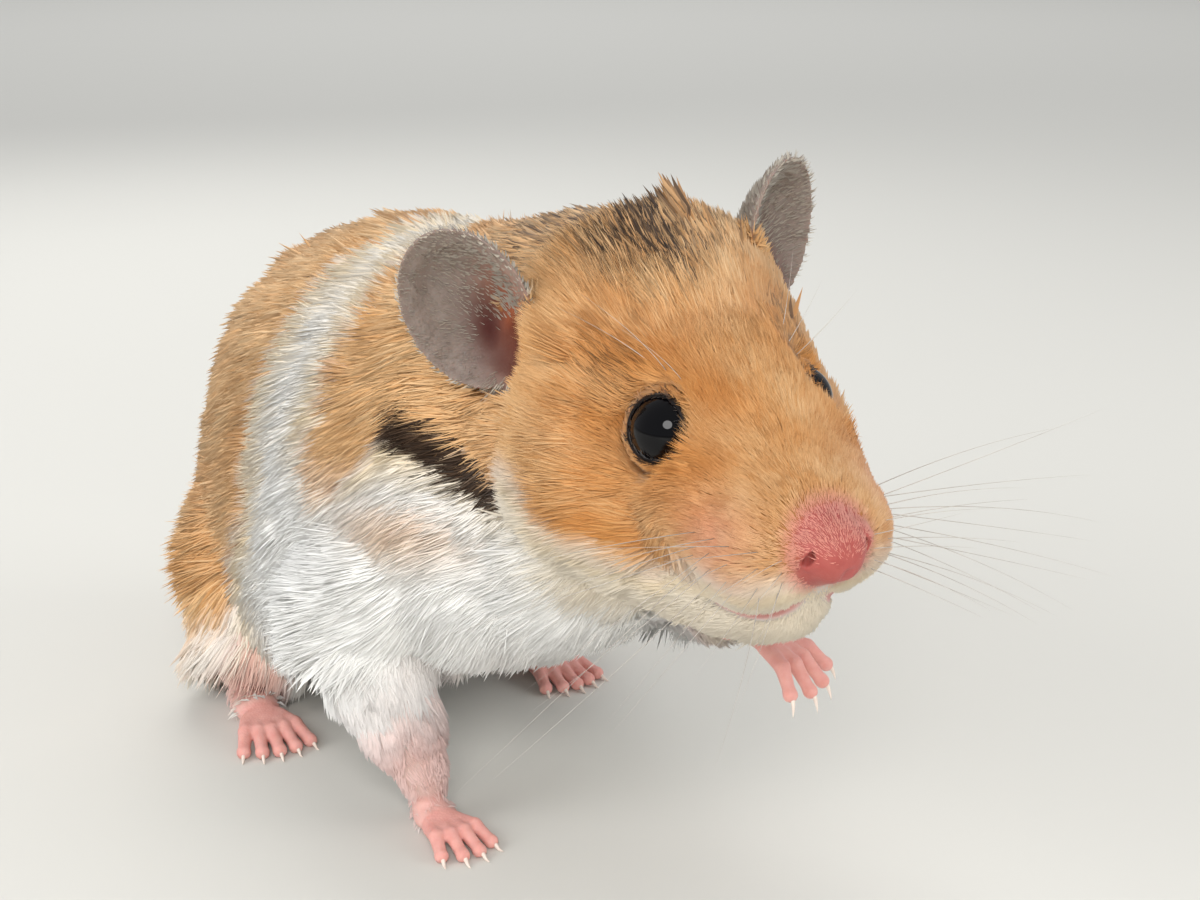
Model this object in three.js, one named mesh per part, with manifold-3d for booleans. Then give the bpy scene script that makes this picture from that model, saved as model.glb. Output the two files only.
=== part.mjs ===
// Syrian hamster, young adult with a banded golden coat: a still, life-size model.
// Millimetres, +Z up. The animal faces -Y and its left side is +X.
// Every surface is the outline of the coat, out to the tips of the hair.
import * as THREE from 'three';
import Module from 'manifold-3d';
import { mergeVertices } from 'three/addons/utils/BufferGeometryUtils.js';

const wasm = await Module();
wasm.setup();

// ---- Driving sizes ------------------------------------------------------

const GAP = 0.3; // between neighbouring pieces
const HIPS_Y = 30.8; // the hips lie this far behind the middle of the whole
const MIDDLE_X = 0.25; // sideways shift that centres the whole on the origin

const SEAMS = { // distance ahead of the hips at which each length of body ends
  rump: 8,
  trunk: 27,
  shoulders: 43,
  neck: 53,
};

const BELLY = { height: 5, start: 12, rise: 0.34 }; // clearance under the belly

const HEAD = { // pose of the head; its own origin lies between the eyes
  side: 2.6,
  forward: 74.5,
  up: 51.6,
  nod: 6, // degrees, nose down
  turn: 4.5, // degrees, to its right
  tilt: 5, // degrees, left side up
};

const EYE = { radius: 3.5, side: 6.3, forward: -1.2, up: -1.1 };

const EAR = {
  halfWidth: 6.4,
  halfHeight: 8.6,
  thickness: 0.9,
  cup: 3.2, // depth of the hollow
  forward: -19.5, // middle of the blade, from the middle of the head
  back: 10, // degrees that the top leans backward
  // Each ear is held its own way: middle of the blade out to the side and up,
  // degrees that the hollow looks outward, degrees that the top leans outward.
  right: { side: 17.6, up: 6.2, face: 39, lean: 11 },
  left: { side: 16.4, up: 8.0, face: 28, lean: -26 },
};

const NOSE = { forward: 15.4, up: -6.8, half: [3.1, 3.2, 3.3] };

const MOUTH = { // the lower jaw lies under a slope that starts at the lip
  forward: 12,
  up: -14.2,
  slope: 20, // degrees down toward the throat
  depth: 14, // from the lip back
  width: 17,
  height: 12,
};

const HAND = {
  palm: [2.3, 2.8, 1.4], // half sizes: across, along, through
  digits: 4,
  reach: 5.2, // of the longest digit, ahead of the palm
  spread: 2.9, // of the outer digits, from the middle
  radius: 0.85,
  arch: 0.7,
};

const FOOT = {
  palm: [2.7, 6.4, 1.8],
  digits: 5,
  reach: 5.4,
  spread: 3.9,
  radius: 0.95,
  arch: 0.6,
};

const CLAW_REACH = 2.2; // length of a claw, in radii of its digit
const SOLE_DIP = 0.25; // how deep a palm is pressed flat against the floor

// ---- Places -------------------------------------------------------------

const UP = new THREE.Vector3(0, 0, 1);
const LEFT = 1;
const RIGHT = -1;
const rad = THREE.MathUtils.degToRad;

// A place on the animal: how far to its left, ahead of the hips, above the floor.
const place = (left, forward, up) => new THREE.Vector3(left + MIDDLE_X, HIPS_Y - forward, up);

const turned = (x, y, z) => new THREE.Quaternion()
  .setFromEuler(new THREE.Euler(rad(x), rad(y), rad(z), 'ZYX'));

const headTurn = turned(HEAD.nod, -HEAD.tilt, -HEAD.turn);

// A place on the head: to its left, ahead of the eyes, above the eyes.
const headPlace = (left, forward, up) => new THREE.Vector3(left, -forward, up)
  .applyQuaternion(headTurn)
  .add(place(HEAD.side, HEAD.forward, HEAD.up));

const both = (make) => [make(LEFT), make(RIGHT)];
const sideName = (side) => (side === LEFT ? 'left' : 'right');

// Each leg from its root to its wrist or heel: places with the furred radius there.
const LEGS = {
  fore_right: {
    names: ['upper_arm', 'forearm', 'hand'],
    stops: [
      [place(-11.5, 38, 29), 9],
      [place(-17.3, 32, 21.5), 8.6],
      [place(-15.6, 36, 14), 6.4],
      [place(-13.6, 40.5, 5.4), 3.5],
    ],
    paw: { size: HAND, at: place(-13.3, 42.8, HAND.palm[2] - SOLE_DIP), turn: [0, 0, 2] },
  },
  fore_left: { // lifted under the chin
    names: ['upper_arm', 'forearm', 'hand'],
    stops: [
      [place(13, 39, 31), 8.5],
      [place(14.5, 45, 25.5), 6.6],
      [place(13.5, 53, 23.8), 4.6],
      [place(12.2, 60, 24.8), 3.2],
    ],
    paw: { size: HAND, at: place(13.6, 63, 24.2), turn: [32, 0, 30], fan: 1.5 },
  },
  hind_right: {
    names: ['thigh', 'shank', 'foot'],
    stops: [
      [place(-13.3, -0.5, 20.5), 13.6],
      [place(-15.5, 0.5, 13.2), 12],
      [place(-18, 2, 8.8), 7.8],
      [place(-19.8, 3, 5), 4.4],
    ],
    paw: { size: FOOT, at: place(-20.6, 7, FOOT.palm[2] - SOLE_DIP), turn: [0, 0, -6] },
  },
  hind_left: {
    names: ['thigh', 'shank', 'foot'],
    stops: [
      [place(13.3, -0.5, 20.5), 13.6],
      [place(14.5, 0.5, 13.2), 12],
      [place(15.6, 2.5, 8.8), 7.8],
      [place(15.6, 4, 5), 4.4],
    ],
    paw: { size: FOOT, at: place(15.6, 8, FOOT.palm[2] - SOLE_DIP), turn: [0, 0, 6] },
  },
};

const TAIL = [
  [place(0, -17, 17), 3],
  [place(0, -23, 13.5), 2],
  [place(0, -27, 11), 1.2],
];

// ---- The body as a field of soft masses ---------------------------------

// One egg-shaped mass: its middle, its half sizes (left, forward, up) and turn.
function mass(middle, [left, forward, up], turn = new THREE.Quaternion()) {
  return {
    middle,
    half: new THREE.Vector3(left, forward, up),
    unturn: turn.clone().invert(),
  };
}

const headMass = (left, forward, up, half) => mass(headPlace(left, forward, up), half, headTurn);

const BODY_MASSES = [
  mass(place(0, 1, 24.5), [23.5, 22.5, 33]), // rump
  mass(place(0, 18, 27.5), [23.5, 23, 34]), // loins
  mass(place(1.5, 35, 36), [21, 18, 26]), // shoulders
  mass(place(2.5, 44, 31), [16, 13, 15]), // chest
  mass(place(4, 47, 46), [16.5, 15, 18.5]), // nape
];

const HEAD_MASSES = [
  headMass(0, -17, 0.5, [15.5, 14, 13.5]), // skull
  headMass(0, -5, -1.5, [9.8, 13, 9]), // brow
  ...both((s) => headMass(s * 8.2, -12, -9, [9, 12, 10])), // cheeks
  headMass(0, 6, -7, [7.2, 10, 7]), // muzzle
  ...both((s) => headMass(s * 6.3, 2, -6, [4.4, 6.5, 5.5])), // sides of the muzzle
  ...both((s) => headMass(s * 4.4, 10, -8.6, [4.6, 5, 4.6])), // whisker pads
  headMass(0, 4, -14.8, [6.5, 8.5, 5.5]), // chin
  headMass(0, -5, -15.3, [10, 12, 8]), // throat
];

const BLEND = { body: 9, head: 3.5, neck: 6, belly: 8 }; // widths of the soft joins

// Roughly the distance from a point to a mass, less than 0 inside it.
function massDistance({ middle, half, unturn }, point) {
  const near = point.clone().sub(middle).applyQuaternion(unturn).divide(half);
  const steep = near.clone().divide(half).length();
  const reach = near.length();
  return steep > 0 ? (reach * (reach - 1)) / steep : -Math.min(half.x, half.y, half.z);
}

// The lesser of two distances, rounded off where they are nearly equal.
function blend(a, b, width) {
  const overlap = Math.max(width - Math.abs(a - b), 0) / width;
  return Math.min(a, b) - (overlap * overlap * width) / 4;
}

const blendAll = (masses, point, width) => masses
  .map((one) => massDistance(one, point))
  .reduce((a, b) => blend(a, b, width));

function fleshDistance(point) {
  const forward = HIPS_Y - point.y;
  const belly = BELLY.height + Math.max(forward - BELLY.start, 0) * BELLY.rise;
  const body = blendAll(BODY_MASSES, point, BLEND.body);
  const clear = -blend(-body, point.z - belly, BLEND.belly);
  return blend(clear, blendAll(HEAD_MASSES, point, BLEND.head), BLEND.neck);
}

const REACH_STEP = 0.4;
const REACH_LIMIT = 60;
const HALVINGS = 14;

// How far it is from an inner point to the surface, in one direction.
function reachOut(inside, direction, grow = 0) {
  const depthAt = (far) => fleshDistance(inside.clone().addScaledVector(direction, far)) - grow;
  let high = REACH_STEP;
  while (depthAt(high) < 0 && high < REACH_LIMIT) high += REACH_STEP;
  let low = high - REACH_STEP;
  for (let step = 0; step < HALVINGS; step += 1) {
    const middle = (low + high) / 2;
    if (depthAt(middle) < 0) low = middle;
    else high = middle;
  }
  return low;
}

// ---- Lofts --------------------------------------------------------------

// A closed mesh from rings of points; a ring of one point closes an end.
function closedLoft(rings) {
  const positions = [];
  const index = [];
  const starts = rings.map((ring) => {
    const start = positions.length / 3;
    ring.forEach((p) => positions.push(p.x, p.y, p.z));
    return start;
  });
  const corner = (ring, i) => starts[ring] + (i % rings[ring].length);
  for (let r = 0; r + 1 < rings.length; r += 1) {
    const count = Math.max(rings[r].length, rings[r + 1].length);
    for (let i = 0; i < count; i += 1) {
      const [a, b] = [corner(r, i), corner(r, i + 1)];
      const [c, d] = [corner(r + 1, i), corner(r + 1, i + 1)];
      if (rings[r].length > 1) index.push(a, d, b);
      if (rings[r + 1].length > 1) index.push(a, c, d);
    }
  }
  const geometry = new THREE.BufferGeometry();
  geometry.setAttribute('position', new THREE.Float32BufferAttribute(positions, 3));
  geometry.setIndex(index);
  return geometry;
}

// Two directions square to a line of travel, the second as near upright as can be.
function frameAlong(tangent) {
  const isSteep = Math.abs(tangent.z) > 0.95;
  const level = isSteep ? new THREE.Vector3(0, -1, 0) : UP;
  const side = new THREE.Vector3().crossVectors(tangent, level).normalize();
  const up = new THREE.Vector3().crossVectors(side, tangent).normalize();
  return { side, up };
}

function ringOf(centre, tangent, sides, reach) {
  const { side, up } = frameAlong(tangent);
  return Array.from({ length: sides }, (_, i) => {
    const angle = (i / sides) * Math.PI * 2;
    const out = side.clone().multiplyScalar(Math.cos(angle)).addScaledVector(up, Math.sin(angle));
    return centre.clone().addScaledVector(out, reach(out));
  });
}

// The line that the body's rings are threaded on, from the rump to the nose.
function bodyAxis() {
  const inner = [
    place(0, -20, 27),
    place(0, 0, 31),
    place(0, 20, 34),
    place(1.5, 36, 37),
    place(3.5, 48, 42),
    headPlace(0, -14, -5),
    headPlace(0, 0, -7),
    headPlace(0, 11, -9),
  ];
  const rough = new THREE.CatmullRomCurve3(inner);
  const [first, last] = [rough.getPoint(0), rough.getPoint(1)];
  const behind = rough.getTangent(0).negate();
  const ahead = rough.getTangent(1);
  const rump = first.clone().addScaledVector(behind, reachOut(first, behind));
  const nose = last.clone().addScaledVector(ahead, reachOut(last, ahead));
  return new THREE.CatmullRomCurve3([rump, ...inner, nose]);
}

const axis = bodyAxis();

// The axis station whose point lies a given distance ahead of the hips.
function stationAt(forward) {
  let [low, high] = [0, 1];
  for (let step = 0; step < 30; step += 1) {
    const middle = (low + high) / 2;
    if (HIPS_Y - axis.getPoint(middle).y < forward) low = middle;
    else high = middle;
  }
  return low;
}

const BODY_SIDES = 22;
const BODY_RINGS = 14;
const HEAD_RINGS = 18;

function bodyRing(station, grow) {
  const tangent = axis.getTangent(station);
  const centre = axis.getPoint(station);
  const isEnd = station <= 0 || station >= 1;
  if (isEnd) return [centre.addScaledVector(tangent, station <= 0 ? -grow : grow)];
  return ringOf(centre, tangent, BODY_SIDES, (out) => reachOut(centre, out, grow));
}

// The whole body in one skin: its rings crowd toward both ends and over the head.
function bodyLoft(grow = 0) {
  const quarter = (i, count) => (i / count) * (Math.PI / 2);
  const nape = stationAt(SEAMS.neck);
  const back = Array.from(
    { length: BODY_RINGS },
    (_, i) => nape * (1 - Math.cos(quarter(i, BODY_RINGS))),
  );
  const face = Array.from(
    { length: HEAD_RINGS + 1 },
    (_, i) => nape + (1 - nape) * Math.sin(quarter(i, HEAD_RINGS)),
  );
  return closedLoft([...back, ...face].map((station) => bodyRing(station, grow)));
}

// ---- Solids -------------------------------------------------------------

function solidOf(geometry) {
  const bare = geometry.clone();
  bare.deleteAttribute('normal');
  bare.deleteAttribute('uv');
  const welded = mergeVertices(bare, 1e-5);
  return new wasm.Manifold(new wasm.Mesh({
    numProp: 3,
    vertProperties: new Float32Array(welded.attributes.position.array),
    triVerts: new Uint32Array(welded.index.array),
  }));
}

// The largest piece of a solid: slivers that a cut leaves loose are dropped.
const largest = (solid) => solid.decompose().reduce((a, b) => (a.volume() > b.volume() ? a : b));

function geometryOf(solid) {
  const { vertProperties, triVerts, numProp } = largest(solid).getMesh();
  const positions = [];
  for (let v = 0; v < vertProperties.length; v += numProp) {
    positions.push(vertProperties[v], vertProperties[v + 1], vertProperties[v + 2]);
  }
  const geometry = new THREE.BufferGeometry();
  geometry.setAttribute('position', new THREE.Float32BufferAttribute(positions, 3));
  geometry.setIndex(Array.from(triVerts));
  geometry.computeVertexNormals();
  return geometry;
}

const joined = (solids) => solids.reduce((a, b) => a.add(b));
const cutBy = (solid, cutters) => cutters.reduce((a, b) => a.subtract(b), solid);

// Parts a solid by a thin cut square to a direction: what is behind and what is ahead.
function parted(solid, at, direction) {
  const size = 120;
  const turn = new THREE.Quaternion().setFromUnitVectors(UP, direction);
  const block = (sign) => {
    const box = new THREE.BoxGeometry(size, size, size).translate(0, 0, sign * (size - GAP) / 2);
    return solidOf(box.applyQuaternion(turn).translate(at.x, at.y, at.z));
  };
  return [solid.subtract(block(1)), solid.subtract(block(-1))];
}

const DOME_TURNS = [0.55, 1]; // quarter turns from a tube's rim to its tip

// A round-ended tube through a few places, each with its own radius.
function tube(stops, { sides = 5, rings = stops.length - 1 } = {}) {
  const path = new THREE.CatmullRomCurve3(stops.map(([p]) => p));
  const radii = new THREE.CatmullRomCurve3(stops.map(([, r], i) => new THREE.Vector3(r, i, 0)));
  const ring = (t, shift, radius) => {
    const tangent = path.getTangent(t);
    const centre = path.getPoint(t).addScaledVector(tangent, shift);
    return radius > 0 ? ringOf(centre, tangent, sides, () => radius) : [centre];
  };
  const dome = (t, sign) => DOME_TURNS.map((turn) => {
    const radius = radii.getPoint(t).x;
    const reach = turn < 1 ? Math.cos((turn * Math.PI) / 2) * radius : 0;
    return ring(t, sign * Math.sin((turn * Math.PI) / 2) * radius, reach);
  });
  const steps = Array.from({ length: rings + 1 }, (_, i) => i / rings);
  return solidOf(closedLoft([
    ...dome(0, -1).reverse(),
    ...steps.map((t) => ring(t, 0, radii.getPoint(t).x)),
    ...dome(1, 1),
  ]));
}

// A thick limb: round-ended tubes joined end to end through its places.
function limb(stops, grow = 0) {
  const grown = stops.map(([p, r]) => [p, r + grow]);
  const lengths = grown.slice(1).map((stop, i) => [grown[i], stop]);
  return joined(lengths.map((ends) => tube(ends, { sides: 9, rings: 1 })));
}

const belowFloor = solidOf(new THREE.BoxGeometry(400, 400, 40).translate(0, 0, -20));

// ---- Hands and feet -----------------------------------------------------

// A digit that arches from the palm to its tip and ends in its claw.
function digit(root, tip, radius, arch) {
  const knuckle = root.clone().lerp(tip, 0.5).addScaledVector(UP, arch);
  const run = tip.clone().sub(knuckle).normalize();
  const claw = tip.clone().addScaledVector(run, radius * CLAW_REACH);
  return tube([[root, radius], [knuckle, radius], [tip, radius * 0.9], [claw, radius * 0.3]]);
}

// A padded palm with digits that fan out from its front edge. It is made level,
// pointing ahead, then turned and set with the middle of its palm at a place.
function paw({ size, at, turn, fan = 1 }) {
  const [halfWide, halfLong, halfHigh] = size.palm;
  const palm = solidOf(new THREE.SphereGeometry(1, 10, 5).scale(halfWide, halfLong, halfHigh));
  const digits = Array.from({ length: size.digits }, (_, i) => {
    const across = (i / (size.digits - 1)) * 2 - 1;
    const reach = size.reach * (1 - 0.22 * across * across);
    const root = new THREE.Vector3(across * halfWide * 0.72, -halfLong * 0.72, 0);
    const tip = new THREE.Vector3(
      across * size.spread * fan,
      -halfLong - reach,
      size.radius - halfHigh,
    );
    return digit(root, tip, size.radius, size.arch);
  });
  const pose = new THREE.Matrix4().compose(at, turned(...turn), new THREE.Vector3(1, 1, 1));
  return joined([palm, ...digits]).transform(pose.elements).subtract(belowFloor);
}

// ---- Ears, eyes, nose and jaw -------------------------------------------

// The ear is a thin oval bowl; its hollow looks ahead and outward.
function ear(side) {
  const { side: out, up, face, lean } = side > 0 ? EAR.left : EAR.right;
  const turn = headTurn.clone().multiply(turned(EAR.back, side * lean, side * face));
  const middle = headPlace(side * out, EAR.forward, up);
  const [rings, spokes] = [3, 16];
  const point = (reach, angle, back) => {
    const across = Math.cos(angle) * reach * (EAR.halfWidth - back / 2);
    const along = Math.sin(angle) * reach * (EAR.halfHeight - back / 2);
    const hollow = EAR.cup * (1 - reach ** 2) + back;
    return new THREE.Vector3(across, hollow, along).applyQuaternion(turn).add(middle);
  };
  const ring = (reach, back) => Array.from(
    { length: reach > 0 ? spokes : 1 },
    (_, i) => point(reach, (i / spokes) * Math.PI * 2, back),
  );
  const reaches = Array.from({ length: rings + 1 }, (_, i) => i / rings);
  const front = reaches.map((reach) => ring(reach, 0));
  const rear = reaches.map((reach) => ring(reach, EAR.thickness)).reverse();
  return solidOf(closedLoft([...front, ...rear]));
}

function eyeball(side, grow = 0) {
  const middle = headPlace(side * EYE.side, EYE.forward, EYE.up);
  const sphere = new THREE.SphereGeometry(EYE.radius + grow, 12, 6);
  return solidOf(sphere.translate(middle.x, middle.y, middle.z));
}

function nosePad(grow = 0) {
  const [x, y, z] = NOSE.half.map((half) => half + grow);
  const middle = headPlace(0, NOSE.forward, NOSE.up);
  const shape = new THREE.SphereGeometry(1, 12, 6).scale(x, y, z).applyQuaternion(headTurn);
  return solidOf(shape.translate(middle.x, middle.y, middle.z));
}

function jawBlock(grow = 0) {
  const { width, height, depth } = MOUTH;
  const box = new THREE.BoxGeometry(width + grow * 2, depth + grow, height + grow)
    .translate(0, (depth + grow) / 2, -(height - grow) / 2);
  const turn = headTurn.clone().multiply(turned(-MOUTH.slope, 0, 0));
  const lip = headPlace(0, MOUTH.forward, MOUTH.up);
  return solidOf(box.applyQuaternion(turn).translate(lip.x, lip.y, lip.z));
}

// ---- The whole animal ---------------------------------------------------

const solids = {};

let ahead = solidOf(bodyLoft());
for (const [name, forward] of Object.entries(SEAMS)) {
  const station = stationAt(forward);
  [solids[name], ahead] = parted(ahead, axis.getPoint(station), axis.getTangent(station));
}

const nose = nosePad();
const aroundNose = nosePad(GAP);
solids.head = cutBy(ahead, [...both((side) => eyeball(side, GAP)), aroundNose, jawBlock(GAP)]);
solids.lower_jaw = ahead.intersect(jawBlock()).subtract(aroundNose);
solids.nose = ahead.intersect(nose);

const aroundBody = solidOf(bodyLoft(GAP));
for (const side of [LEFT, RIGHT]) {
  solids[`ear_${sideName(side)}`] = ear(side).subtract(aroundBody);
  solids[`eye_${sideName(side)}`] = eyeball(side);
}

solids.tail = tube(TAIL, { sides: 10 });
solids.rump = solids.rump.subtract(tube(TAIL.map(([p, r]) => [p, r + GAP]), { sides: 10 }));

for (const [key, leg] of Object.entries(LEGS)) {
  const side = key.split('_')[1];
  const [upper, lower, end] = leg.names.map((name) => `${name}_${side}`);
  const [root, bend, next] = leg.stops.map(([p]) => p);
  const fold = next.clone().sub(root).normalize();
  const aroundLeg = limb(leg.stops, GAP);
  [solids[upper], solids[lower]] = parted(limb(leg.stops), bend, fold);
  solids[end] = paw(leg.paw).subtract(aroundLeg);
  for (const name of Object.keys(SEAMS)) {
    solids[name] = solids[name].subtract(aroundLeg);
  }
}

// ---- Surfaces -----------------------------------------------------------

const surface = (color, roughness) => new THREE.MeshStandardMaterial({ color, roughness, metalness: 0 });

const COAT = surface('#d99a52', 0.9);
const WHITE_COAT = surface('#dddeda', 0.9);
const BARE_SKIN = surface('#d98c80', 0.55);
const EAR_SKIN = surface('#8f8680', 0.6);
const EYE_SURFACE = surface('#0b0a0d', 0.06);

const surfaceOf = (name) => {
  if (name.startsWith('eye')) return EYE_SURFACE;
  if (name.startsWith('ear')) return EAR_SKIN;
  if (/^(hand|foot|nose|tail)/.test(name)) return BARE_SKIN;
  if (/^(lower_jaw|upper_arm|forearm|shank)/.test(name)) return WHITE_COAT;
  return COAT;
};

const hamster = new THREE.Group();
for (const [name, solid] of Object.entries(solids)) {
  const mesh = new THREE.Mesh(geometryOf(solid), surfaceOf(name));
  mesh.name = name;
  hamster.add(mesh);
}

export default hamster;
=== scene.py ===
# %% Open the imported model
import math

import bpy
import numpy as np
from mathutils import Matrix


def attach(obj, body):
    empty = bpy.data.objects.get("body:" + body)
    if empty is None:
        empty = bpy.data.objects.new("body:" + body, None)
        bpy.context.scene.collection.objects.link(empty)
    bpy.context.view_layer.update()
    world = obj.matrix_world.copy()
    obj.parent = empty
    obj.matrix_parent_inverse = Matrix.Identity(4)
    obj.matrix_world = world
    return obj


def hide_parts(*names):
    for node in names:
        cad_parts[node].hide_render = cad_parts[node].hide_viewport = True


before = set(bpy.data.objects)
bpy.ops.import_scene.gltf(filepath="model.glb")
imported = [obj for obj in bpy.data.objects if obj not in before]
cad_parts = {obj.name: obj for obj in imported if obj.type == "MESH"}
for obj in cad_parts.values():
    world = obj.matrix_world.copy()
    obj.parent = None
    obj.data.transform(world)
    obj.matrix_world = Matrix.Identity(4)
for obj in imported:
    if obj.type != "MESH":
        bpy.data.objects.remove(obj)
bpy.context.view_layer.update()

import openvdb as vdb
from mathutils import Matrix, Vector

# %% [markdown]
# # A Syrian hamster, life size, as a museum model
# The animal stands with one forepaw lifted. Under the coat there is one closed skin. Over it
# lie a few hundred thousand small tufts, each a slim closed solid. The eyes, claws and
# whiskers are pieces of their own. All work is done in millimetres, in the frame of the solids,
# and turned to metres when a mesh is made.

MM = 0.001
SEED = 20260
draw = np.random.default_rng(SEED)


def unit(v):
    return v / np.maximum(np.linalg.norm(v, axis=-1, keepdims=True), 1e-9)


def ease(x, start, end):
    """0 before start, 1 after end, smooth between them."""
    t = np.clip((x - start) / (end - start), 0, 1)
    return t * t * (3 - 2 * t)


def lerp(a, b, t):
    return a + (b - a) * t


# %% [markdown]
# ## Where things are on the animal
# Two ways of naming a place keep the numbers readable. On the body, a place is so far left of
# the midline, so far ahead of the hips and so high above the floor. On the head, it is left,
# forward and up from the head's own middle, so the head can be turned without changing them.

# %% Places on the body and on the head
MIDDLE_X = 0.25
HIPS_Y = 30.8
HEAD_SIDE, HEAD_FORWARD, HEAD_UP = 2.6, 74.5, 51.6
HEAD_NOD, HEAD_TILT, HEAD_SWING = 6, -5, -4.5


def turned(x, y, z):
    """The turn about X, then Y, then Z, in degrees, as a 3 by 3 array."""
    turns = [Matrix.Rotation(math.radians(a), 3, axis) for a, axis in ((z, "Z"), (y, "Y"), (x, "X"))]
    return np.array(turns[0] @ turns[1] @ turns[2])


def place(left, forward, up):
    return np.array([left + MIDDLE_X, HIPS_Y - forward, up])


HEAD_TURN = turned(HEAD_NOD, HEAD_TILT, HEAD_SWING)
HEAD_AT = place(HEAD_SIDE, HEAD_FORWARD, HEAD_UP)


def head_place(left, forward, up):
    return HEAD_TURN @ np.array([left, -forward, up]) + HEAD_AT


def on_body(p):
    """Left, forward of the hips and up, for rows of points."""
    return p[..., 0] - MIDDLE_X, HIPS_Y - p[..., 1], p[..., 2]


def on_head(p):
    q = (p - HEAD_AT) @ HEAD_TURN
    return q[..., 0], -q[..., 1], q[..., 2]


def head_way(left, forward, up):
    """A direction given on the head, in the frame of the row."""
    return np.stack([left, -forward, up], -1) @ HEAD_TURN.T


print("nose tip near", np.round(head_place(0, 18, -7), 1))

# %% Legs: stops from shoulder or hip to wrist or ankle, with the radius there
LEGS = {
    "fore_right": [
        ((-11.5, 38, 29), 9), ((-17.3, 32, 21.5), 8.6), ((-15.6, 36, 14), 6.4), ((-13.6, 40.5, 5.4), 3.5),
    ],
    "fore_left": [
        ((13, 39, 31), 8.5), ((14.5, 45, 25.5), 6.6), ((13.5, 53, 23.8), 4.6), ((12.2, 60, 24.8), 3.2),
    ],
    "hind_right": [
        ((-13.3, -0.5, 20.5), 13.6), ((-15.5, 0.5, 13.2), 12), ((-18, 2, 8.8), 7.8), ((-19.8, 3, 5), 4.4),
    ],
    "hind_left": [
        ((13.3, -0.5, 20.5), 13.6), ((14.5, 0.5, 13.2), 12), ((15.6, 2.5, 8.8), 7.8), ((15.6, 4, 5), 4.4),
    ],
}
HAND = dict(palm=(2.3, 2.8, 1.4), digits=4, reach=5.2, spread=2.9, radius=0.85, arch=0.7)
FOOT = dict(palm=(2.7, 6.4, 1.8), digits=5, reach=5.4, spread=3.9, radius=0.95, arch=0.6)
PAWS = {
    "fore_right": dict(kind=HAND, at=(-13.3, 42.8, 1.15), turn=(0, 0, 2), fan=1),
    "fore_left": dict(kind=HAND, at=(13.6, 63, 24.2), turn=(32, 0, 30), fan=1.5),
    "hind_right": dict(kind=FOOT, at=(-20.6, 7, 1.55), turn=(0, 0, -6), fan=1),
    "hind_left": dict(kind=FOOT, at=(15.6, 8, 1.55), turn=(0, 0, 6), fan=1),
}


def nearest_leg(p):
    """Distance outside the nearest leg's tube, how far down that leg (0 to 1), and the way down it."""
    best = np.full(p.shape[:-1], 1e9)
    along = np.zeros(p.shape[:-1])
    way = np.zeros(p.shape)
    for stops in LEGS.values():
        ends = [place(*at) for at, _ in stops]
        for i in range(len(stops) - 1):
            a, b = ends[i], ends[i + 1]
            t = np.clip(((p - a) @ (b - a)) / ((b - a) @ (b - a)), 0, 1)
            reach = np.linalg.norm(p - a - t[..., None] * (b - a), axis=-1)
            out = reach - lerp(stops[i][1], stops[i + 1][1], t)
            closer = out < best
            best = np.where(closer, out, best)
            along = np.where(closer, (i + t) / (len(stops) - 1), along)
            way = np.where(closer[..., None], unit(b - a), way)
        radius = stops[-1][1]
        from_end = np.linalg.norm(p - ends[-1], axis=-1)
        along = np.maximum(along, 1 - ease(from_end, radius + 0.5, radius + 3))
    return best, along, way


# %% [markdown]
# ## How deep the coat is
# The solids reach to the tips of the hair, so the skin has to lie inside them by the depth of
# the coat. That depth differs a lot: deep on the rump, thin on the muzzle, almost nothing on
# the paws. One function of place gives it, and the hair's length follows it later.

# %% Eyes and nose, and the depth of the coat
EYE_RADIUS = 3.5
EYE_AT = (6.3, -1.2, -1.1)
EYE_AXIS = (0.8, 0.42, 0.43)
NOSE_AT = (0, 15.4, -6.8)
NOSE_HALF = (3.1, 3.2, 3.3)


def eye_middle(side):
    return head_place(side * EYE_AT[0], EYE_AT[1], EYE_AT[2])


def eye_axis(side):
    left, forward, up = EYE_AXIS
    return unit(head_way(side * left, forward, up))


def from_eye(p):
    """Distance from the middle of the nearer eye."""
    return np.minimum(*(np.linalg.norm(p - eye_middle(side), axis=-1) for side in (-1, 1)))


def from_nose(p):
    """Distance outside the nose pad, roughly in millimetres."""
    left, forward, up = on_head(p)
    r = np.sqrt(sum(((v - c) / h) ** 2 for v, c, h in zip((left, forward, up), NOSE_AT, NOSE_HALF)))
    return (r - 1) * NOSE_HALF[0]


def headness(p):
    """0 on the body, 1 on the head."""
    _, forward, up = on_body(p)
    return ease(forward + 0.12 * (up - 45), 52, 62)


def spot(values, middle, reach):
    """1 at a place, fading with distance, with a reach along each axis."""
    return np.exp(-sum(((v - m) / r) ** 2 for v, m, r in zip(values, middle, reach)))


def coat_depth(p):
    _, forward, _ = on_body(p)
    left, ahead, high = on_head(p)
    on = headness(p)
    depth = lerp(3.2, 2.6, ease(forward, 0, 45))
    depth = lerp(depth, lerp(1.9, 2.7, ease(high, 8, 11) * (1 - ease(ahead, -10, -3))), on)
    brow = spot((left, ahead, high), (0, 1.5, 5), (6.5, 6, 6))
    depth = lerp(depth, 0.9, on * brow)
    depth = lerp(depth, 0.75, on * ease(ahead, -2, 10))
    depth = lerp(depth, 1.5, on * spot((left, ahead, high), (0, 9, -18.5), (8, 8, 2.5)))
    depth = lerp(depth, 0.25, on * ease(-from_nose(p), -2.4, -0.2))
    depth = lerp(depth, 0.5, on * (1 - ease(from_eye(p), 4.4, 7.5)))
    out, along, _ = nearest_leg(p)
    leg = ease(along, 0.25, 0.62) * (1 - ease(out, 1.5, 4.5)) * (1 - on)
    return lerp(depth, lerp(2.0, 0.9, ease(along, 0.6, 0.98)), leg)


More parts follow.
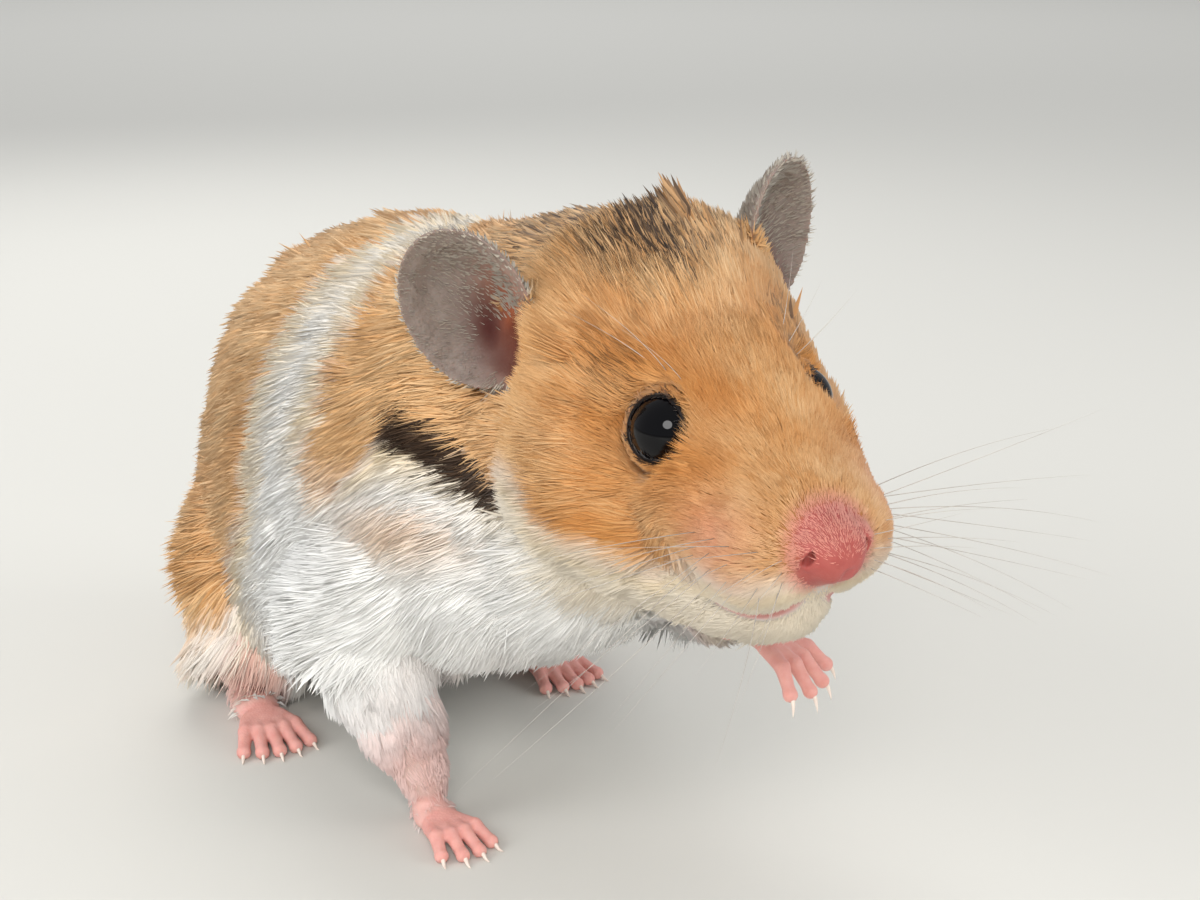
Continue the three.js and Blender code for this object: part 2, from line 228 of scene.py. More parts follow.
SAMPLES = {"rump": place(0, -5, 60), "muzzle": head_place(6, 8, -6), "wrist": place(-13.6, 40.5, 5.4)}
for name, p in SAMPLES.items():
    print("coat depth on the", name, round(float(coat_depth(p[None])[0]), 2), "mm")

# %% [markdown]
# ## The flesh under the coat
# The body is handed over as parted solids, with thin gaps between them. A level set, which is a
# grid of distances to a surface, melts them into one. Growing it a little closes the gaps,
# and adding the coat's depth to each distance draws the surface in. Modelling this by hand would
# leave seams, and a plain shrink along the normals folds over in the creases.

# %% Melt the solids of flesh into one and draw them in by the coat
EARS = ("ear_left", "ear_right")
EYES = ("eye_left", "eye_right")
FEET = ("hand_left", "hand_right", "foot_left", "foot_right")
COARSE = 0.45
GAP_CLOSE = 0.25
DEEP_BAND = 12


def node_mesh(name):
    mesh = bpy.data.objects[name].data
    mesh.calc_loop_triangles()
    points = np.zeros(len(mesh.vertices) * 3, np.float32)
    mesh.vertices.foreach_get("co", points)
    corners = np.zeros(len(mesh.loop_triangles) * 3, np.int32)
    mesh.loop_triangles.foreach_get("vertices", corners)
    return points.reshape(-1, 3) / MM, corners.reshape(-1, 3)


def joined(meshes):
    """Several (points, faces) as one."""
    starts = np.cumsum([0] + [len(points) for points, _ in meshes[:-1]])
    points = np.concatenate([points for points, _ in meshes])
    faces = np.concatenate([faces + start for (_, faces), start in zip(meshes, starts)])
    return points.astype(np.float32), faces.astype(np.uint32)


def level_set(points, faces, voxel, band):
    kind = "triangles" if faces.shape[1] == 3 else "quads"
    options = {kind: faces, "transform": vdb.createLinearTransform(voxelSize=voxel), "halfWidth": band}
    return vdb.FloatGrid.createLevelSetFromPolygons(points, **options)


def smoothed(values, reach, rounds=1):
    """A box blur along each axis in turn."""
    for _ in range(rounds):
        for axis in range(3):
            n = values.shape[axis]
            total = np.cumsum(values, axis=axis, dtype=np.float64)
            zero = np.zeros_like(np.take(total, [0], axis=axis))
            total = np.concatenate([zero, total], axis=axis)
            first = np.maximum(np.arange(n) - reach, 0)
            last = np.minimum(np.arange(n) + reach + 1, n)
            shape = [-1 if k == axis else 1 for k in range(3)]
            gap = np.take(total, last, axis=axis) - np.take(total, first, axis=axis)
            values = (gap / (last - first).reshape(shape)).astype(np.float32)
    return values


flesh_nodes = [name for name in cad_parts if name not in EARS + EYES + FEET]
solid = joined([node_mesh(name) for name in flesh_nodes])
grid = level_set(*solid, COARSE, 3)
points, _, faces = grid.convertToPolygons(isovalue=GAP_CLOSE, adaptivity=0)
grid = level_set(points, faces, COARSE, DEEP_BAND)
low, high = grid.evalActiveVoxelBoundingBox()
shape = [high[k] - low[k] + 1 for k in range(3)]
flesh = np.zeros(shape, np.float32)
grid.copyToArray(flesh, ijk=low)
print("flesh grid", flesh.shape, "of", COARSE, "mm")

STRIDE = 4
at = [np.arange(low[k], high[k] + 1, STRIDE) * COARSE for k in range(3)]
depth = coat_depth(np.stack(np.meshgrid(*at, indexing="ij"), -1)).astype(np.float32)
for axis in range(3):
    depth = np.repeat(depth, STRIDE, axis=axis)
depth = smoothed(depth[: shape[0], : shape[1], : shape[2]], STRIDE - 1)
x, y, z = np.ogrid[tuple(slice(low[k], high[k] + 1) for k in range(3))]
aside, ahead, up = np.abs(x * COARSE - MIDDLE_X), HIPS_Y - y * COARSE, z * COARSE
haunch = ease(aside, 6, 12) * (1 - ease(ahead, 10, 24)) * ease(up, 9, 16) * (1 - ease(up, 36, 48))
skin_field = lerp(smoothed(flesh, 2), smoothed(flesh, 6, 2), haunch.astype(np.float32)) + GAP_CLOSE + depth
flesh_grid = vdb.FloatGrid()
flesh_grid.background = float(flesh.max())
flesh_grid.transform = vdb.createLinearTransform(voxelSize=COARSE)
flesh_grid.copyFromArray(skin_field, ijk=low)
points, _, faces = flesh_grid.convertToPolygons(isovalue=0, adaptivity=0)
print("drawn in by the coat:", len(faces), "faces")

# %% [markdown]
# ## Paws, tail, ears and the face
# What is bare or nearly so needs finer work than the blurred flesh gives. On a grid of about a
# fifth of a millimetre, digits and pads are rounded rods blended into the wrist, the tail is a
# tapering stub, each ear is a thin cupped leaf, and the lids, nostrils and lips are cut or
# raised. Each is a distance function, so joining is a soft minimum and cutting a soft maximum.

# %% Distances and soft joins
FINE = 0.22


def rod(p, a, b, start, end):
    """Distance from a rod between two points, with a radius at each end."""
    t = np.clip(((p - a) @ (b - a)) / ((b - a) @ (b - a)), 0, 1)
    return np.linalg.norm(p - a - t[..., None] * (b - a), axis=-1) - lerp(start, end, t)


def egg(q, half):
    """Distance from an ellipsoid about the origin, good near its surface."""
    half = np.array(half)
    scaled = np.linalg.norm(q / half, axis=-1)
    return scaled * (scaled - 1) / np.maximum(np.linalg.norm(q / half**2, axis=-1), 1e-6)


def soft_min(a, b, reach):
    h = np.clip(0.5 + 0.5 * (b - a) / reach, 0, 1)
    return lerp(b, a, h) - reach * h * (1 - h)


def soft_cut(a, b, reach):
    """a without b."""
    return -soft_min(-a, b, reach)


grid = level_set(points, faces, FINE, 6)


def capped_faces(rings, spokes):
    """Faces over rings of points, closed by a single point at each end."""
    faces = []
    last = 1 + (rings - 1) * spokes
    for i in range(spokes):
        j = (i + 1) % spokes
        faces.append([0, 1 + i, 1 + j])
        for r in range(rings - 1):
            a, b = 1 + r * spokes, 1 + (r + 1) * spokes
            faces += [[a + i, b + i, b + j], [a + i, b + j, a + j]]
        faces.append([last + i, last + spokes, last + j])
    return np.array(faces)


def sculpt(low, high, change):
    """Changes the fine grid inside a box: change(distances, points) gives the new distances."""
    low = [math.floor(v / FINE) for v in low]
    high = [math.ceil(v / FINE) for v in high]
    block = np.zeros([high[k] - low[k] + 1 for k in range(3)], np.float32)
    grid.copyToArray(block, ijk=low)
    at = [np.arange(low[k], high[k] + 1, dtype=np.float32) * FINE for k in range(3)]
    p = np.stack(np.meshgrid(*at, indexing="ij"), -1)
    limit = 6 * FINE
    block = np.clip(change(block, p), -limit, limit).astype(np.float32)
    grid.copyFromArray(block, ijk=low)


# %% Paws: palm, digits and pads
SOLE_HEIGHT = 0.02  # soles are cut flat just above the floor


def paw_digits(name):
    """For each digit its root, knuckle and tip, as the solids have them."""
    paw = PAWS[name]
    kind = paw["kind"]
    wide, long, high = kind["palm"]
    turn = turned(*paw["turn"])
    middle = place(*paw["at"])
    digits = []
    for i in range(kind["digits"]):
        across = 2 * i / (kind["digits"] - 1) - 1
        root = np.array([across * wide * 0.72, -long * 0.72, 0])
        reach = long + kind["reach"] * (1 - 0.22 * across**2)
        tip = np.array([across * kind["spread"] * paw["fan"], -reach, kind["radius"] - high])
        knuckle = (root + tip) / 2 + np.array([0, 0, kind["arch"]])
        digits.append([turn @ q + middle for q in (root, knuckle, tip)])
    return digits, turn, middle


def add_paw(name):
    kind = PAWS[name]["kind"]
    digits, turn, middle = paw_digits(name)
    wrist = place(*LEGS[name][-1][0])
    radius = kind["radius"]
    wide, long, high = kind["palm"]
    spots = np.array([q for digit in digits for q in digit] + [wrist, middle])

    def change(block, p):
        q = (p - middle) @ turn
        shape = egg(q, (wide, long, high))
        for root, knuckle, tip in digits:
            shape = soft_min(shape, rod(p, root, knuckle, radius * 1.02, radius * 0.9), 0.7)
            pad = np.linalg.norm(p - tip, axis=-1) - radius * 0.86
            finger = soft_min(rod(p, knuckle, tip, radius * 0.9, radius * 0.72), pad, 0.3)
            shape = soft_min(shape, finger, 0.25)
        heel = middle + turn @ np.array([0, long * 0.6, -0.1])
        shape = soft_min(shape, rod(p, wrist, heel, 2.3, min(wide, high) * 0.92), 1.2)
        joined_up = soft_min(block, shape, 1.0)
        return np.maximum(joined_up, SOLE_HEIGHT - p[..., 2]) if wrist[2] < 10 else joined_up

    sculpt(spots.min(0) - 5, spots.max(0) + 5, change)


for name in PAWS:
    add_paw(name)

# %% Tail: a short tapering stub with little hair on it
TAIL = [((0, -12, 20), 2.5), ((0, -17, 17), 2.5), ((0, -23, 13.5), 1.8), ((0, -27, 11), 1.0)]


def from_tail(p):
    """Distance outside the tail."""
    stops = [(place(*at), radius) for at, radius in TAIL]
    return np.minimum.reduce([rod(p, a, b, start, end) for (a, start), (b, end) in zip(stops, stops[1:])])


def tailness(p):
    """0 on the rump, 1 on the tail."""
    _, forward, _ = on_body(p)
    return (1 - ease(from_tail(p), 0.3, 1.6)) * (1 - ease(forward, -21, -18.5))


def add_tail(block, p):
    return soft_min(block, from_tail(p), 1.2)


tail_stops = np.array([place(*at) for at, _ in TAIL])
sculpt(tail_stops.min(0) - 4, tail_stops.max(0) + 4, add_tail)

# %% Ears: thin cupped leaves with a rolled edge and a deep hollow at the base
EAR = dict(half_width=6.4, half_height=8.6, thickness=0.8, cup=3.2, forward=-19.5, back=10)
EAR_HELD = {  # out to the side, up, degrees the hollow looks outward and the top leans outward
    -1: (17.6, 6.2, 39, 11),
    1: (16.4, 8.0, 28, -26),
}
EAR_INSET = 0.12
CONCHA_AT, CONCHA_HALF = (-1.3, 0.1, -3.4), (3.4, 2.6, 3.7)  # the hollow at the base, in the ear's frame


def ear_frame(side):
    out, up, face, lean = EAR_HELD[side]
    turn = HEAD_TURN @ turned(EAR["back"], side * lean, side * face)
    return turn, head_place(side * out, EAR["forward"], up)


def in_ear(p, side):
    """Points in the frame of an ear: across it, to its back and up it."""
    turn, middle = ear_frame(side)
    return (p - middle) @ turn


def concha(p, side):
    """Distance outside the hollow at the base of an ear."""
    return egg(in_ear(p, side) - [side * CONCHA_AT[0], CONCHA_AT[1], CONCHA_AT[2]], CONCHA_HALF)


def ear_leaf(side, spokes=72, rings=16):
    """The leaf as a closed mesh: its front from middle to rim, then its back from rim to middle."""
    turn, middle = ear_frame(side)
    rows = []
    for back in (0, 1):
        for k in range(rings + 1):
            reach = (k if back == 0 else rings - k) / rings
            angle = np.arange(spokes) * 2 * np.pi / spokes
            b = EAR["thickness"] * back * (1 - 0.45 * reach**4)
            x = np.cos(angle) * reach * (EAR["half_width"] - EAR_INSET)
            z = np.sin(angle) * reach * (EAR["half_height"] - EAR_INSET)
            inward = -side * x / EAR["half_width"]
            height = z / EAR["half_height"]
            dent = np.exp(-((inward - 0.35) ** 2) / 0.06 - (height + 0.25) ** 2 / 0.18) * (1 - reach**6)
            roll = np.exp(-((reach - 0.8) ** 2) / 0.008) * (height > -0.5)
            folds = np.sin(7 * height + 2.2 * inward) * np.exp(-((reach - 0.5) ** 2) / 0.05)
            y = EAR["cup"] * (1 - reach**2) + b + EAR_INSET + 1.1 * dent - 0.32 * roll + 0.22 * folds
            rows.append(np.stack([x, y, z], -1))
    q = np.concatenate([rows[0].mean(0, keepdims=True)] + rows[1:-1] + [rows[-1].mean(0, keepdims=True)])
    faces = capped_faces(len(rows) - 2, spokes).astype(np.uint32)
    return (q @ turn.T + middle).astype(np.float32), faces


def add_ear(side):
    leaf_points, leaf_faces = ear_leaf(side)
    leaf = level_set(leaf_points, leaf_faces, FINE, 6)
    root = head_place(side * 13.2, -18.6, 4.4)

    def change(block, p):
        low = [int(round(v / FINE)) for v in p[0, 0, 0]]
        other = np.zeros(block.shape, np.float32)
        leaf.copyToArray(other, ijk=low)
        near = 1 - ease(np.linalg.norm(p - root, axis=-1), 3, 8)
        both = np.where(other < 1.2, soft_min(block, other, 0.35 + 1.6 * near), block)
        return soft_cut(both, concha(p, side), 0.5)

    sculpt(leaf_points.min(0) - 2, leaf_points.max(0) + 2, change)


for side in (-1, 1):
    add_ear(side)

# %% Face: sockets and lids, nostrils, the cleft, lips and the fold in front of the eye
LID_OPEN = {-1: 46, 1: 36}
LID_CORNER = 9
LID_THICK = 0.26
SOCKET = EYE_RADIUS + 0.06
NOSTRIL = dict(at=(2.75, 16.2, -6.7), half=(0.42, 1.0, 0.85))
LIPS = [(0, 14.6, -11.7), (0.8, 14.0, -12.6), (3, 11.8, -14.2), (5.0, 8.9, -15.2), (6.4, 6.0, -15.1)]
CLEFT = [(0, 18.0, -7.9), (0, 16.8, -9.8), (0, 14.8, -11.7)]
FOLD = [(7.0, 5.0, -1.6), (8.0, 8.2, -3.8), (7.8, 11.3, -6.4)]


def past_lid(p, side):
    """Degrees round the eyeball from the edge of its opening, negative inside the opening."""
    axis = eye_axis(side)
    q = p - eye_middle(side)
    ahead = q @ axis
    flat = q - ahead[..., None] * axis
    reach = np.linalg.norm(flat, axis=-1)
    corner = unit(head_way(side * -0.25, 0.8, -0.55))
    corner = unit(corner - (corner @ axis) * axis)
    to_corner = np.clip((flat @ corner) / np.maximum(reach, 1e-6), 0, 1)
    return np.degrees(np.arctan2(reach, ahead)) - LID_OPEN[side] - LID_CORNER * to_corner**10


def lid_distance(p, side):
    """A thin shell over the eyeball, with a round opening."""
    far = np.linalg.norm(p - eye_middle(side), axis=-1)
    opening = -np.radians(past_lid(p, side)) * EYE_RADIUS
    return -soft_min(-(far - EYE_RADIUS - LID_THICK), -opening, 0.25)


def lid_edge(p):
    """Degrees past the edge of the nearer eye's opening, and large away from the lids."""
    near = []
    for side in (-1, 1):
        away = ease(np.linalg.norm(p - eye_middle(side), axis=-1), 4.0, 5.2)
        near.append(lerp(past_lid(p, side), 90, away))
    return np.minimum(*near)


def line_distance(p, stops, radius):
    ends = [head_place(*s) for s in stops]
    return np.minimum.reduce([rod(p, a, b, radius, radius) for a, b in zip(ends, ends[1:])])


def mirrored(stops, side):
    return [(side * left, forward, up) for left, forward, up in stops]


def add_eye(side):
    middle = eye_middle(side)

    def change(block, p):
        block = soft_min(block, lid_distance(p, side), 0.35)
        return soft_cut(block, np.linalg.norm(p - middle, axis=-1) - SOCKET, 0.06)

    sculpt(middle - 6, middle + 6, change)


def add_nose(block, p):
    left, forward, up = on_head(p)
    q = np.stack([left, forward, up], -1) - NOSE_AT
    pad = egg(q, [h * 0.88 for h in NOSE_HALF])
    block = soft_min(block, pad, 1.5)
    wing = NOSTRIL["at"]
    for side in (-1, 1):
        at = np.array([side * wing[0], wing[1], wing[2]])
        rim = egg(q + NOSE_AT - at - np.array([side * -0.25, -0.9, 0.2]), (1.15, 1.3, 1.3))
        block = soft_min(block, rim, 0.7)
        turn = turned(0, side * -30, side * -28)
        block = soft_cut(block, egg((q + NOSE_AT - at) @ turn, NOSTRIL["half"]), 0.25)
    block = soft_cut(block, line_distance(p, CLEFT, 0.42), 0.4)
    for side in (-1, 1):
        block = soft_cut(block, line_distance(p, mirrored(LIPS, side), 0.62), 0.5)
        block = soft_cut(block, line_distance(p, mirrored(FOLD, side), 0.35), 0.8)
    return block


for side in (-1, 1):
    add_eye(side)
nose = head_place(0, 11, -8)
sculpt(nose - 12, nose + 12, add_nose)


# %% One closed skin
def mesh_object(name, points, faces, smooth=True):
    """A mesh object from arrays of points, in millimetres, and faces of one size."""
    mesh = bpy.data.meshes.new(name)
    sides = faces.shape[1]
    mesh.vertices.add(len(points))
    mesh.vertices.foreach_set("co", (points * MM).astype(np.float32).ravel())
    mesh.loops.add(faces.size)
    mesh.loops.foreach_set("vertex_index", faces.astype(np.int32).ravel())
    mesh.polygons.add(len(faces))
    mesh.polygons.foreach_set("loop_start", np.arange(len(faces), dtype=np.int32) * sides)
    mesh.polygons.foreach_set("use_smooth", np.full(len(faces), smooth))
    mesh.update(calc_edges=True)
    obj = bpy.data.objects.new(name, mesh)
    bpy.context.scene.collection.objects.link(obj)
    return obj


def wound_outward(points, faces):
    """Faces turned the right way out, from the sign of the volume they hold."""
    a, b, c = (points[faces[:, k]] for k in range(3))
    volume = np.einsum("ij,ij->i", a, np.cross(b, c)).sum() / 6
    return (faces if volume > 0 else faces[:, ::-1]), abs(volume)


def largest_shell(points, faces):
    """Only the biggest connected surface, with unused points dropped."""
    label = np.arange(len(points))
    edges = np.concatenate([faces[:, [0, 1]], faces[:, [1, 2]]])
    while True:
        smallest = np.minimum(label[edges[:, 0]], label[edges[:, 1]])
        after = label.copy()
        np.minimum.at(after, edges[:, 0], smallest)
        np.minimum.at(after, edges[:, 1], smallest)
        after = after[after]
        if np.array_equal(after, label):
            break
        label = after
    names, counts = np.unique(label[faces[:, 0]], return_counts=True)
    faces = faces[label[faces[:, 0]] == names[counts.argmax()]]
    used, faces = np.unique(faces, return_inverse=True)
    return points[used], faces.reshape(-1, 3)


SKIN_FLATNESS = 0.012
grid.gridClass = vdb.GridClass.LEVEL_SET
points, triangles, quads = grid.convertToPolygons(isovalue=0, adaptivity=SKIN_FLATNESS)
faces = np.concatenate([triangles, quads[:, [0, 1, 2]], quads[:, [0, 2, 3]]]).astype(np.int64)
points, faces = largest_shell(points.astype(np.float64), faces)
faces, volume = wound_outward(points, faces)
skin = mesh_object("skin", points, faces)
print("skin:", len(faces), "triangles,", round(volume / 1000, 1), "cubic centimetres")

# %% [markdown]
# ## Markings
# A banded golden hamster has a gold rump, a white belt round the loins, gold shoulders and a
# gold face, a dark flash from the cheek towards the shoulder with cream beside it, and white
# below. Each edge is a line that says where the gold ends at a given height or distance
# ahead. The skin and every tuft ask the same function, so they always agree.

# %% Slow waves that bend edges and directions
def waves(p, size, seed, count=5):
    """Smooth noise of about -1 to 1, with a given size in millimetres."""
    pick = np.random.default_rng(seed)
    total = 0
    for _ in range(count):
        way = unit(pick.normal(size=3)) * 2 * np.pi / size * pick.uniform(0.6, 1.5)
        total = total + np.sin(p @ way + pick.uniform(0, 2 * np.pi))
    return total / math.sqrt(count)


# %% Edges of the gold, as (height, how far ahead) or (how far ahead, height)
RUMP_EDGE = ([16, 21, 26, 30, 42, 50, 57, 62, 70], [6, 8.3, 12.3, 14.6, 14.5, 16.2, 19, 18.5, 18])
SHOULDER_EDGE = (
    [28, 30.7, 33.6, 37.6, 41.4, 47.3, 51.3, 56.6, 70],
    [42, 37.8, 31.7, 28.8, 29.6, 29.9, 29.2, 28.4, 28],
)
SHOULDER_LOW = (
    [28, 31, 34, 38, 41.5, 45.4, 49.5, 53.3, 57.1, 60],
    [36, 34, 34.5, 39, 44, 44, 42.4, 40.7, 39.6, 39],
)
FLASH = ([40, 41.5, 45.4, 49.5, 53.3, 57.1, 61], [45.6, 44.8, 43.4, 41.6, 39.8, 38.4, 37.4])
FACE_LOW = (
    [-20, -14.3, -10.2, -7.8, -6.3, -3, -0.4, 5.5, 9.2, 12.5, 16],
    [-9.5, -7.7, -8.1, -10.3, -12.4, -13.1, -13.6, -11.4, -9.6, -9.4, -9.2],
)
FACE_SPOTS = {  # middle on the head as (to the side, ahead, up), and reach each way
    "temple": ((10.5, -7, 4), (5, 5, 5)),
    "cheek": ((13, -1.5, -9.6), (7, 7, 2.6)),
    "bridge": ((0, 8, 1), (6, 9, 6)),
    "thin hair": ((8.0, 9.8, -6.6), (3.4, 4, 3.4)),
}
CROWN_SPOT = ((-1, -15, 13), (10, 9, 5))


def markings(p):
    """How gold, dark, cream, deep and pink the coat is at rows of points, each 0 to 1."""
    left, forward, up = on_body(p)
    hl, hf, hu = on_head(p)
    on = ease(forward, 54, 59)
    wobble = waves(p, 9, 3) * 0.7 + waves(p, 3.5, 4) * 0.35

    def gold_with(soft, face_soft):
        rump = ease(np.interp(up, *RUMP_EDGE) - forward + wobble, -soft, soft)
        rump = rump * ease(up + wobble * 2, 5 - soft, 13 + soft)
        ahead = ease(forward - np.interp(up, *SHOULDER_EDGE) + wobble, -soft, soft)
        above = ease(up - np.interp(forward, *SHOULDER_LOW) + wobble * 0.5, -soft, soft)
        above = above * lerp(0.35, 1, ease(up + wobble, 32, 42))
        face = ease(hu - np.interp(hf, *FACE_LOW) + wobble * 0.5, -face_soft, face_soft)
        return lerp(np.maximum(rump, ahead * above), face, on)

    gold = gold_with(1.5, 2.2)
    around = gold_with(9, 9)
    patch = spot((forward, up), (43, 34), (7, 3)) * (np.abs(left) > 8) * (1 - on)
    gold = np.maximum(gold, 0.55 * patch)
    line = up - np.interp(forward, *FLASH)
    flash = np.exp(-((line / 2.1) ** 4)) * ease(forward, 39.5, 42) * (1 - ease(forward, 53, 57))
    flash = flash * (np.abs(left) > 8.5) * (0.95 + 0.15 * waves(p, 5, 5))
    marks = {name: spot((np.abs(hl), hf, hu), *where) for name, where in FACE_SPOTS.items()}
    crown = spot((hl, hf, hu), *CROWN_SPOT) * (0.72 + 0.18 * waves(p, 4, 6)) * 0.9
    ridge = ease(up, 58, 66) * (1 - on) * 0.4
    nape = spot((forward, up), (46, 62), (8, 5)) * 0.4
    dark = np.clip(np.maximum.reduce([flash, crown, 0.36 * marks["temple"] * on, ridge, nape]), 0, 1)
    round_eye = (1 - ease(from_eye(p), 6, 14)) * 0.8
    deep = np.maximum.reduce([marks["cheek"], marks["bridge"] * 0.55, round_eye, marks["temple"]])
    deep = np.clip((deep + 0.22 * waves(p, 6, 8)) * on, 0, 1)
    lids = 1 - ease(lid_edge(p), 4, 13)
    dark = np.maximum(dark, lids * on * 0.65)
    nose = 1 - ease(from_nose(p), 0.2, 2.4)
    thin = marks["thin hair"] * 0.46
    out, along, _ = nearest_leg(p)
    low_leg = ease(along, 0.55, 1.0) * (1 - ease(out, 1, 4)) * 0.55
    pink = np.clip(np.maximum.reduce([nose * on, thin * on, low_leg * (1 - on)]), 0, 1)
    cream = np.clip(np.maximum((around - gold) * 2.1, 0.5 * on * (1 - gold)), 0, 1)
    return gold, dark, cream, deep, pink


SAMPLES = {"rump": place(-22, 5, 40), "belt": place(-22, 22, 42), "shoulder": place(-18, 36, 46)}
for name, p in SAMPLES.items():
    print("gold on the", name, round(float(markings(p[None])[0][0]), 2))

# %% [markdown]
# ## Bare places
# Nose, lids, ears and the digits show skin. Tufts thin out towards them and stop, and the
# skin's own colour takes over there.

# %% How bare a place is: paws, ears, lids, nose and lips
SKULL_AT = (0, -17, 0.5)
SKULL_HALF = (15.5, 14, 13.5)


def ear_place(p, side):
    """Across, ahead and up on an ear, as parts of its half width and height, and millimetres."""
    q = in_ear(p, side)
    return q[..., 0] / EAR["half_width"], q[..., 1], q[..., 2] / EAR["half_height"]


def earness(p):
    """0 on the head, 1 on either ear and in its hollow."""
    hl, hf, hu = on_head(p)
    skull = egg(np.stack([hl, hf, hu], -1) - SKULL_AT, SKULL_HALF)
    on = np.zeros(p.shape[:-1])
    for side in (-1, 1):
        x, y, z = ear_place(p, side)
        near = (np.hypot(x, z) < 1.12) & (y > -2) & (y < 6.5)
        inner = (np.hypot(-side * x - 0.25, z + 0.3) < 0.78) & (y > -2) & (y < 3.6)
        on = np.maximum(on, near * np.maximum(ease(skull, -0.9, 0.4), inner))
    return on


def from_concha(p):
    """Distance outside the hollow of the nearer ear."""
    return np.minimum(*(concha(p, side) for side in (-1, 1)))


def pawness(p):
    """0 on the leg, 1 on the bare digits and soles."""
    bare = np.zeros(p.shape[:-1])
    for name, paw in PAWS.items():
        long = paw["kind"]["palm"][1]
        q = (p - place(*paw["at"])) @ turned(*paw["turn"])
        near = (np.abs(q[..., 0]) < 7) & (np.abs(q[..., 1]) < long + 8) & (np.abs(q[..., 2]) < 4)
        start = -0.5 if name.startswith("fore") else 0.0
        ahead = ease(-q[..., 1], start * long, 0.55 * long)
        sole = 1 - ease(q[..., 2], -0.9, -0.3)
        heel = 0.75 * (1 - ease(q[..., 2], 2.0, 3.6))
        bare = np.maximum(bare, near * np.maximum.reduce([ahead, sole, heel]))
    out, along, _ = nearest_leg(p)
    return np.maximum(bare, 0.42 * ease(along, 0.9, 1) * (1 - ease(out, 0.5, 2.5)))


def lip_gap(p):
    lines = [line_distance(p, mirrored(LIPS, side), 0) for side in (-1, 1)]
    return np.minimum.reduce(lines + [line_distance(p, CLEFT, 0)])


# %% [markdown]
# ## Reading the skin
# Roots for the tufts are drawn over the skin's own triangles, so that the coat follows every
# fold. The skin's normals come with them.

# %% Normals and markings of the skin
skin_normals = np.zeros(len(points) * 3, np.float32)
skin.data.vertices.foreach_get("normal", skin_normals)
skin_normals = skin_normals.reshape(-1, 3).astype(np.float64)


def colour_attribute(mesh, name, columns):
    values = np.ones((len(columns[0]), 4), np.float32)
    for k, column in enumerate(columns):
        values[:, k] = column
    layer = mesh.attributes.new(name, "FLOAT_COLOR", "POINT")
    layer.data.foreach_set("color", values.ravel())


on_ear = np.maximum(earness(points), 1 - ease(from_concha(points), 0.2, 0.9))
gold, dark, cream, deep, pink = markings(points)
head_part = headness(points)
lid_part = (1 - ease(lid_edge(points), 12, 26)) * head_part
nose_part = (1 - ease(from_nose(points), 0.2, 1.2)) * head_part
lip_part = (1 - ease(lip_gap(points), 0.5, 0.95)) * head_part * 0.9
paw_part = np.maximum(pawness(points), 0.75 * tailness(points))
# hollow is painted shade in each ear's hollow, deepest at its base; flushed is where the ear's skin is
# redder
hollow, flushed = np.zeros(len(points)), np.zeros(len(points))
for side in (-1, 1):
    x, y, z = ear_place(points, side)
    facing = (skin_normals @ ear_frame(side)[0][:, 1] < 0.2) * (np.hypot(x, z) < 1.1) * (y > -1) * (y < 8)
    hollow = np.maximum(hollow, facing * spot((-side * x, z), (0.08, -0.4), (0.36, 0.5)))
    flushed = np.maximum(flushed, facing * spot((-side * x, z), (0.5, -0.3), (0.4, 0.6)))
hollow = np.maximum(hollow, 0.8 * (1 - ease(from_concha(points), -0.1, 1.1)))
colour_attribute(skin.data, "markings", (gold, dark, cream, np.maximum(pink * 0.8, paw_part)))
colour_attribute(skin.data, "bare", (np.maximum(paw_part, lip_part * 0.9), on_ear, lid_part, nose_part))
colour_attribute(skin.data, "hollow", (hollow, flushed, lip_part, head_part))
bare_share = float((np.maximum(paw_part, on_ear) > 0.5).mean())
print("bare skin on", round(100 * bare_share), "% of the skin's points")


# %% [markdown]
# ## The lie of the coat
# Hair streams back from the nose over the head, parts round each eye, runs back and down the
# body and down each leg. Its length runs from under a millimetre beside the nose to about
# nine on the rump. It leaves the skin steeply and then lies down, and its tip ends at the coat's
# depth. So one short function each gives the way, the length and the lift.

# %% Way, length, width and number of the tufts
NOSE_AHEAD = (0, 24, -7)
PARTING = 3.5


def coat_way(p, normal):
    """The direction in which the coat lies, along the skin."""
    left = on_body(p)[0]
    hl, hf, hu = on_head(p)
    on = headness(p)[..., None]
    sideways = np.abs(normal[..., 0])
    body = np.stack([0.06 * np.sign(left) * sideways, np.ones_like(left), -0.12 - 0.5 * sideways], -1)
    out, along, down = nearest_leg(p)
    leg = (ease(along, 0.12, 0.5) * (1 - ease(out, 2, 6)))[..., None]
    body = lerp(unit(body), down, leg)
    cheek = ease(-hu, 0, 10) * ease(-hf, -4, 10)
    away = np.stack([hl * 1.1, hf - NOSE_AHEAD[1], hu - NOSE_AHEAD[2] - 9 * cheek], -1)
    head = unit(head_way(away[..., 0], away[..., 1], away[..., 2]))
    way = lerp(unit(body), head, on)
    for side in (-1, 1):
        x, y, z = ear_place(p, side)
        outward = unit(p - head_place(side * 13, -18.6, 1))
        near = (np.hypot(x, z) < 1.3) * (np.abs(y) < 7)
        way = lerp(way, outward, (near * earness(p))[..., None])
    way = unit(way - (way * normal).sum(-1, keepdims=True) * normal)
    for side in (-1, 1):
        r = p - eye_middle(side)
        r = r - (r * normal).sum(-1, keepdims=True) * normal
        far = np.linalg.norm(r, axis=-1, keepdims=True)
        r = r / np.maximum(far, 1e-6)
        pull = np.minimum((PARTING / np.maximum(far, 1e-6)) ** 2.5, 1) * (from_eye(p) < 14)[..., None]
        inward = np.minimum((way * r).sum(-1, keepdims=True), 0)
        way = unit(way - r * inward * pull + r * 0.4 * pull)
    return way


